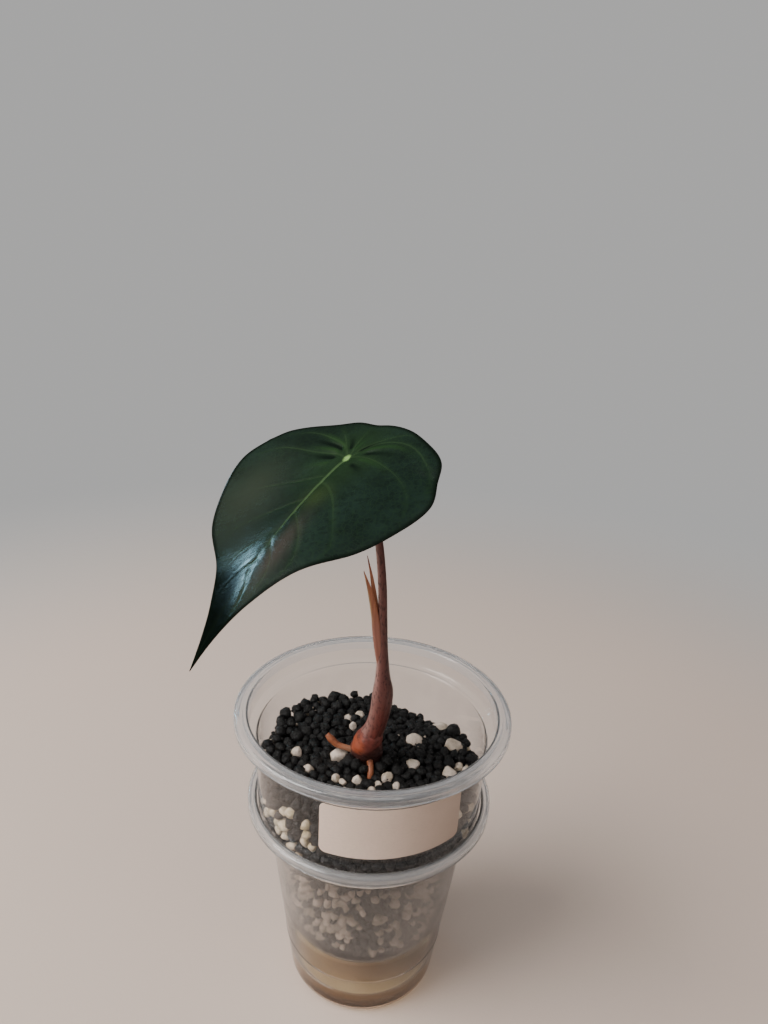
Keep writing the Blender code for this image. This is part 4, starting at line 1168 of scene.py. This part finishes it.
def makeLeaf(facts, relief, shine):
    rows, columns = facts["rows"], facts["columns"]
    edge = smoothLine(facts["outline"], 40)
    shares = np.linspace(0, 1, rows + 1)
    # rows follow the outline's knots as in the source, so that the two outlines agree
    rim = np.array([edge[round(share * (len(edge) - 1))] for share in shares])
    share, out = np.meshgrid(shares, np.linspace(-1, 1, columns + 1), indexing="ij")
    root = facts["midribStart"] + (facts["length"] - facts["midribStart"]) * share
    alongs = (root + (rim[:, :1] - root) * np.abs(out)).ravel()
    acrosses = (np.maximum(rim[:, 1:], 0.0) * out).ravel()
    flat = np.column_stack([alongs, acrosses])
    along, across = alongs * 1000, acrosses * 1000
    top = leafSurface(facts, alongs, acrosses)
    normals = leafNormals(top.reshape(rows + 1, -1, 3))

    marginGap = np.minimum(lineDistance(flat, edge[::4])[0], lineDistance(flat * (1, -1), edge[::4])[0]) * 1000
    tipShare = np.clip(alongs / facts["length"], 0, 1)
    costaWidth = 0.62 * (1 - tipShare) ** 0.8 + 0.10
    costaGap = np.minimum(np.abs(across) / costaWidth + np.where(alongs < -0.0004, 6.0, 0.0), 8.0)
    nodeGap = np.hypot(along * 0.75, across)
    veinGap, veinDepth = np.full(len(flat), 12.0), np.zeros(len(flat))
    for (startWidth, endWidth), points in veinLines:
        distance, where = lineDistance(flat * 1000, smoothLine(points, 6))
        width = startWidth + (endWidth - startWidth) * where
        veinGap = np.minimum(veinGap, distance / width + 4.8 * np.clip(where - 0.75, 0, 1))
        dish = hump(distance, relief["veinSink"]) + hump(distance, relief["veinDish"])
        veinDepth = np.maximum(veinDepth, (1 - where) ** 0.7 * dish)
    fold = np.zeros(len(flat))
    for (height, width), points in foldLines:
        distance, where = lineDistance(flat * 1000, smoothLine(points, 6))
        fade = np.clip(where / relief["foldStart"], 0, 1) ** 1.5 * (1 - where) ** 0.9
        fold -= relief["folds"] * fade * hump(distance, (height, width * (0.40 + 1.10 * where)))
    fold *= np.clip(marginGap / 4.0, 0, 1)
    # the blade is dished a little along its veins, folded round the node, and wavy at the margin
    costaDepth = hump(across, relief["costaSink"]) * (1 - tipShare) * (alongs > 0)
    waveTurn = np.arctan2(acrosses * 1.4, alongs - 0.012) * relief["waves"]
    wave = relief["wave"][0] * np.exp(-marginGap / relief["wave"][1]) * (1 + np.sin(waveTurn))
    quilt = relief["quilt"] * np.sin(np.clip(veinGap, 0, 12) / 12 * math.pi) * np.clip(marginGap / 5.0, 0, 1)
    depth = (veinDepth * np.clip(marginGap / 2.0, 0, 1) + fold - quilt + costaDepth
             + hump(nodeGap, relief["nodeDip"]) + wave) / 1000
    top = top - normals * depth[:, None]
    inside = np.clip(marginGap / 4.0, 0, 1) ** 0.7
    thick = facts["marginThickness"] + (facts["thickness"] - facts["marginThickness"]) * inside
    ridge = hump(across, relief["costaUnder"]) * (1 - tipShare) ** 0.8 * (alongs > -0.001)
    ridge = np.maximum(ridge, relief["veinUnder"] * np.clip(1.6 - veinGap * 0.5, 0, 1) * inside) / 1000
    bottom = top - normals * (thick + ridge)[:, None]

    grid = np.arange(len(top)).reshape(rows + 1, -1)
    border = np.concatenate([grid[:, 0], grid[::-1, -1]]).tolist()
    piece = addPiece("leafBlade", np.vstack([top, bottom]), sheetFaces(rows, columns, border),
                     makeLeafMaterial(leafTones))
    # no gloss on the far side of the bright patch and at the tip, and a painted near-black there, as a painted
    # dark reflection
    dull = softStep(across + 0.5 * (along - 44), shine["dullSide"]) * softStep(along, shine["dullFrom"])
    dull = np.maximum(dull, softStep(along, shine["dullTip"]))
    polish = np.clip(1.6 * softSpot(along, across, shine["polished"]), 0, 1)
    nearPatch = softSpot(along, across, shine["streaked"])
    streaks = 0.5 + (streakPattern(along, across) - 0.5) * (0.12 + 0.88 * nearPatch)
    none, whole = np.zeros(len(top)), np.ones(len(top))
    # the values on top and those on the underside
    marks = {"costaGap": (costaGap,) * 2, "veinGap": (veinGap,) * 2, "nodeGap": (nodeGap,) * 2,
             "marginGap": (marginGap,) * 2, "tipShare": (tipShare,) * 2, "paintedFoldShading": (fold,) * 2,
             "polish": (polish, none), "dull": (dull, none), "streaks": (streaks, 0.5 * whole),
             "underSide": (none, whole)}
    for name, (place, strength) in leafPatches.items():
        marks[name] = (strength * softSpot(along, across, place), none)
    for name, sides in marks.items():
        addFloats(piece, name, np.concatenate(sides))
    return faceOutward(piece, weld=0.000004)


standIn(makeLeaf(leafFacts, leafRelief, leafGloss), "leaf_blade")
print("leaf made")


petioleFacts = {
    "sides": 40,
    "grooveTurn": -1.05,  # where the sheath's edges meet, as an angle from +X seen from above
    "top": ((0.0050, 0.0014), (0.0024, 0.0016), (0.0014, 0.0021)),  # (depth under the leaf's foot, radius)
    "pink": (0.190, 0.062, 0.051), "brown": (0.060, 0.022, 0.018), "foot": (0.165, 0.038, 0.028),
    "spot": (0.030, 0.010, 0.010), "upper": (0.160, 0.058, 0.052), "lit": (0.56, 0.32, 0.27),
}


def makePetioleMaterial(facts):
    material, tree = newMaterial("petioleSkin")
    height = axisOf(tree, "Z")
    spots, streak = mottled(tree, 1250.0, 0.50, 0.66, 2.0, 0.45), mottled(tree, 900.0, 0.35, 0.7, 2.0, 0.06)
    tone = layered(tree, facts, "pink", [
        (ramp(tree, height, 0.128, 0.104), 1, "foot"), (ramp(tree, height, 0.150, 0.195), 1, "upper"),
        # painted shade on the side away from the light
        (streak, 0.35, "brown"), (attribute(tree, "wrapShade"), 0.8, "brown"),
        # painted light on the left side, that faces the lamps
        (attribute(tree, "paintedLitSide"), ramp(tree, height, 0.118, 0.135, 0.35, 0.8), "lit"), (spots, 0.7, "spot")])
    relief = calc(tree, "ADD", streak, times(tree, spots, 0.5))
    finishSkin(tree, tone, ramp(tree, spots, 0.0, 1.0, 0.38, 0.5), (relief, 0.25, 0.0001), 0.45)
    return material


def signedTurn(angle):
    return (angle + math.pi) % fullTurn - math.pi


def makePetiole(facts):
    place, _, _, normal = leafFrames(leafFacts)
    ends = [[*(place[0] - normal[0] * depth), radius] for depth, radius in facts["top"]]
    line, sides = smoothLine(np.vstack([inMetres(petioleLine), ends]), 9), facts["sides"]

    def grooveGap(turn, share):
        return signedTurn(turn - facts["grooveTurn"] - 0.5 * share)

    def section(turn, share):
        # the sheath wraps the lower third: its free edge stands a little proud, with a groove beside it
        wrap = max(0.0, 1 - share / 0.42) ** 0.6
        off = grooveGap(turn, share)
        groove = math.exp(-(off / 0.16) ** 2)
        lip = math.exp(-((off + 0.30) / 0.22) ** 2)
        behind = 0.5 + 0.5 * math.tanh(off / 0.12)
        return 1 - wrap * (0.13 * groove - 0.05 * lip + 0.03 * behind)

    def shade(turn, share):
        # painted shade: darker behind the groove, and in a stripe up the front right, on the side away from the
        # light
        off = grooveGap(turn, share)
        onDark = 1 / (1 + math.exp(-(off - 0.05) / 0.08)) / (1 + math.exp((off - 2.1) / 0.3))
        stripe = 0.85 * math.exp(-(signedTurn(turn + 0.5) / 0.62) ** 2) * min(1.0, share / 0.35)
        return max(onDark * max(0.15, 1 - share / 0.55), stripe)

    # painted light: the left side is painted paler
    def pale(turn, share):
        return math.exp(-((turn - 3.55) / 0.55) ** 2)

    piece = faceOutward(addPiece("petioleStalk", *sweptTube(line, sides, section), makePetioleMaterial(facts)))
    addFloats(piece, "wrapShade", tubeValues(len(line), sides, shade))
    addFloats(piece, "paintedLitSide", tubeValues(len(line), sides, pale))
    return piece


sheathFacts = {
    # two pointed tips, as (x, y, z, radius) in millimetres; the first ones start inside the petiole
    "front": ((2.0, -5.4, 127.0, 0.5), (1.5, -5.6, 132.0, 0.8), (0.9, -5.8, 137.5, 1.2), (0.1, -5.8, 144.0, 1.4),
              (-0.9, -5.8, 151.0, 1.2), (-2.7, -5.7, 159.0, 0.8), (-5.0, -5.6, 166.2, 0.12)),
    "back": ((0.6, -4.6, 140.0, 0.6), (-0.2, -4.5, 147.0, 1.1), (-1.0, -4.4, 155.0, 0.9),
             (-2.4, -4.6, 163.5, 0.5), (-4.1, -4.8, 171.2, 0.10)),
    "sides": 20,
    "orange": (0.50, 0.190, 0.095), "edge": (0.50, 0.37, 0.17), "dark": (0.20, 0.058, 0.036),
    "low": (0.38, 0.150, 0.105),
}


def makeSheath(facts):
    material, tree = newMaterial("sheathSkin")
    height, streak = axisOf(tree, "Z"), mottled(tree, 1500.0, 0.4, 0.7, 2.0, 0.05)
    tone = layered(tree, facts, "orange", [
        (attribute(tree, "paleEdge"), 1, "edge"), (streak, 0.45, "dark"),
        (ramp(tree, height, 0.1645, 0.1700), 1, "dark"), (ramp(tree, height, 0.1560, 0.1450), 1, "low")])
    finishSkin(tree, tone, ramp(tree, streak, 0.0, 1.0, 0.42, 0.6), (streak, 0.3, 0.0001), 0.4)

    def section(turn, share):
        # flat across the view, with a keel on the left
        keel = math.exp(-((turn - math.pi) / 0.5) ** 2)
        return 0.62 + 0.38 * abs(math.cos(turn)) + 0.12 * keel * (1 - share)

    def paleEdge(turn, share):
        return min(1.0, max(0.0, -math.cos(turn) - 0.45) * 1.8)

    front, back = (smoothLine(inMetres(facts[key]), 7) for key in ("front", "back"))
    verts, faces = joinParts([sweptTube(line, facts["sides"], section) for line in (front, back)])
    piece = faceOutward(addPiece("youngSheath", verts, faces, material))
    edges = tubeValues(len(front), facts["sides"], paleEdge)
    addFloats(piece, "paleEdge", edges + [0.0] * (len(verts) - len(edges)))
    return piece


cormFacts = {
    "sides": 48, "rootSides": 16, "rootRadii": (0.00115, 0.0007), "wiggle": 0.00025,
    "stubShares": (0, 0.45, 0.85, 1), "stubRadii": (0.0012, 0.0010, 0.0013, 0.0009),
    "red": (0.290, 0.062, 0.026), "brown": (0.036, 0.012, 0.010), "root": (0.27, 0.085, 0.036),
    "redPlace": (-0.0060, -0.0072, 0.1020),  # the bright side of the corm
    "rootPale": (0.36, 0.21, 0.13), "top": (0.185, 0.045, 0.034),
}


def makeCormMaterial(facts):
    material, tree = newMaterial("cormSkin")
    place, height = placeOf(tree), axisOf(tree, "Z")
    patch = mottled(tree, 330.0, 0.46, 0.68, 4.0, 1.6)
    rings = put(tree, "TexWave", {"Vector": place, "Scale": 170.0, "Distortion": 3.0, "Detail": 2.0,
                                  "Detail Scale": 2.0}, bands_direction="Z").outputs["Fac"]
    gap = put(tree, "VectorMath", {0: place, 1: facts["redPlace"]}, operation="DISTANCE").outputs["Value"]
    red = times(tree, ramp(tree, gap, 0.0056, 0.0026), ramp(tree, height, 0.0978, 0.1002))
    corm = layered(tree, facts, "brown", [(ramp(tree, height, 0.0990, 0.1035), 1, "top"), (red, 1, "red"),
                                          (patch, 0.72, "brown")])
    root = layered(tree, facts, "root", [(patch, 0.6, "brown"), (attribute(tree, "rootPale"), 1, "rootPale")])
    tone = blend(tree, attribute(tree, "rootShare"), corm, root)
    relief = calc(tree, "ADD", times(tree, rings, 0.35), patch)
    finishSkin(tree, tone, ramp(tree, patch, 0.0, 1.0, 0.45, 0.7), (relief, 0.35, 0.0002), 0.4)
    return material


def makeCorm(facts):
    def knobbly(turn, share):
        way = Vector((math.cos(turn), math.sin(turn), share * 5))
        knob = math.exp(-((turn - math.pi) / 0.8) ** 2 - ((share - 0.60) / 0.13) ** 2)
        plain = 1 - max(0.0, share - 0.8) * 5  # smooth where the petiole grows out of it
        return 1 + plain * (0.10 * noise.noise(way * 1.5) + 0.06 * noise.noise(way * 4.2)) + 0.16 * knob

    parts = [sweptTube(smoothLine(inMetres(cormLine), 10), facts["sides"], knobbly)]
    sides, size = facts["rootSides"], len(parts[0][0])
    rootShare, rootPale = [0.0] * size, [0.0] * size
    for name, points in rootLines.items():
        route = smoothLine(inMetres(points), 7)
        count, isStub = len(route), name == "leftStub"
        radii = np.linspace(*facts["rootRadii"], count)
        if isStub:
            radii = np.interp(np.linspace(0, 1, count), facts["stubShares"], facts["stubRadii"])
        wiggle = np.array([noise.noise_vector(Vector(tuple(p)) * 240) for p in route]) * facts["wiggle"]
        parts.append(sweptTube(np.column_stack([route + wiggle, radii]), sides))
        size = len(parts[-1][0])
        rootShare += [1.0] * size
        rootPale += [0.8 * isStub * max(0.0, 1 - (i // sides) / (count * 0.55)) for i in range(size)]
    piece = faceOutward(addPiece("cormAndRoots", *joinParts(parts), makeCormMaterial(facts)))
    addFloats(piece, "rootShare", rootShare)
    addFloats(piece, "rootPale", rootPale)
    return piece


standIn(makePetiole(petioleFacts), "petiole")
standIn(makeSheath(sheathFacts), "young_sheath")
standIn(makeCorm(cormFacts), "corm_and_roots")
print("stem and roots made")
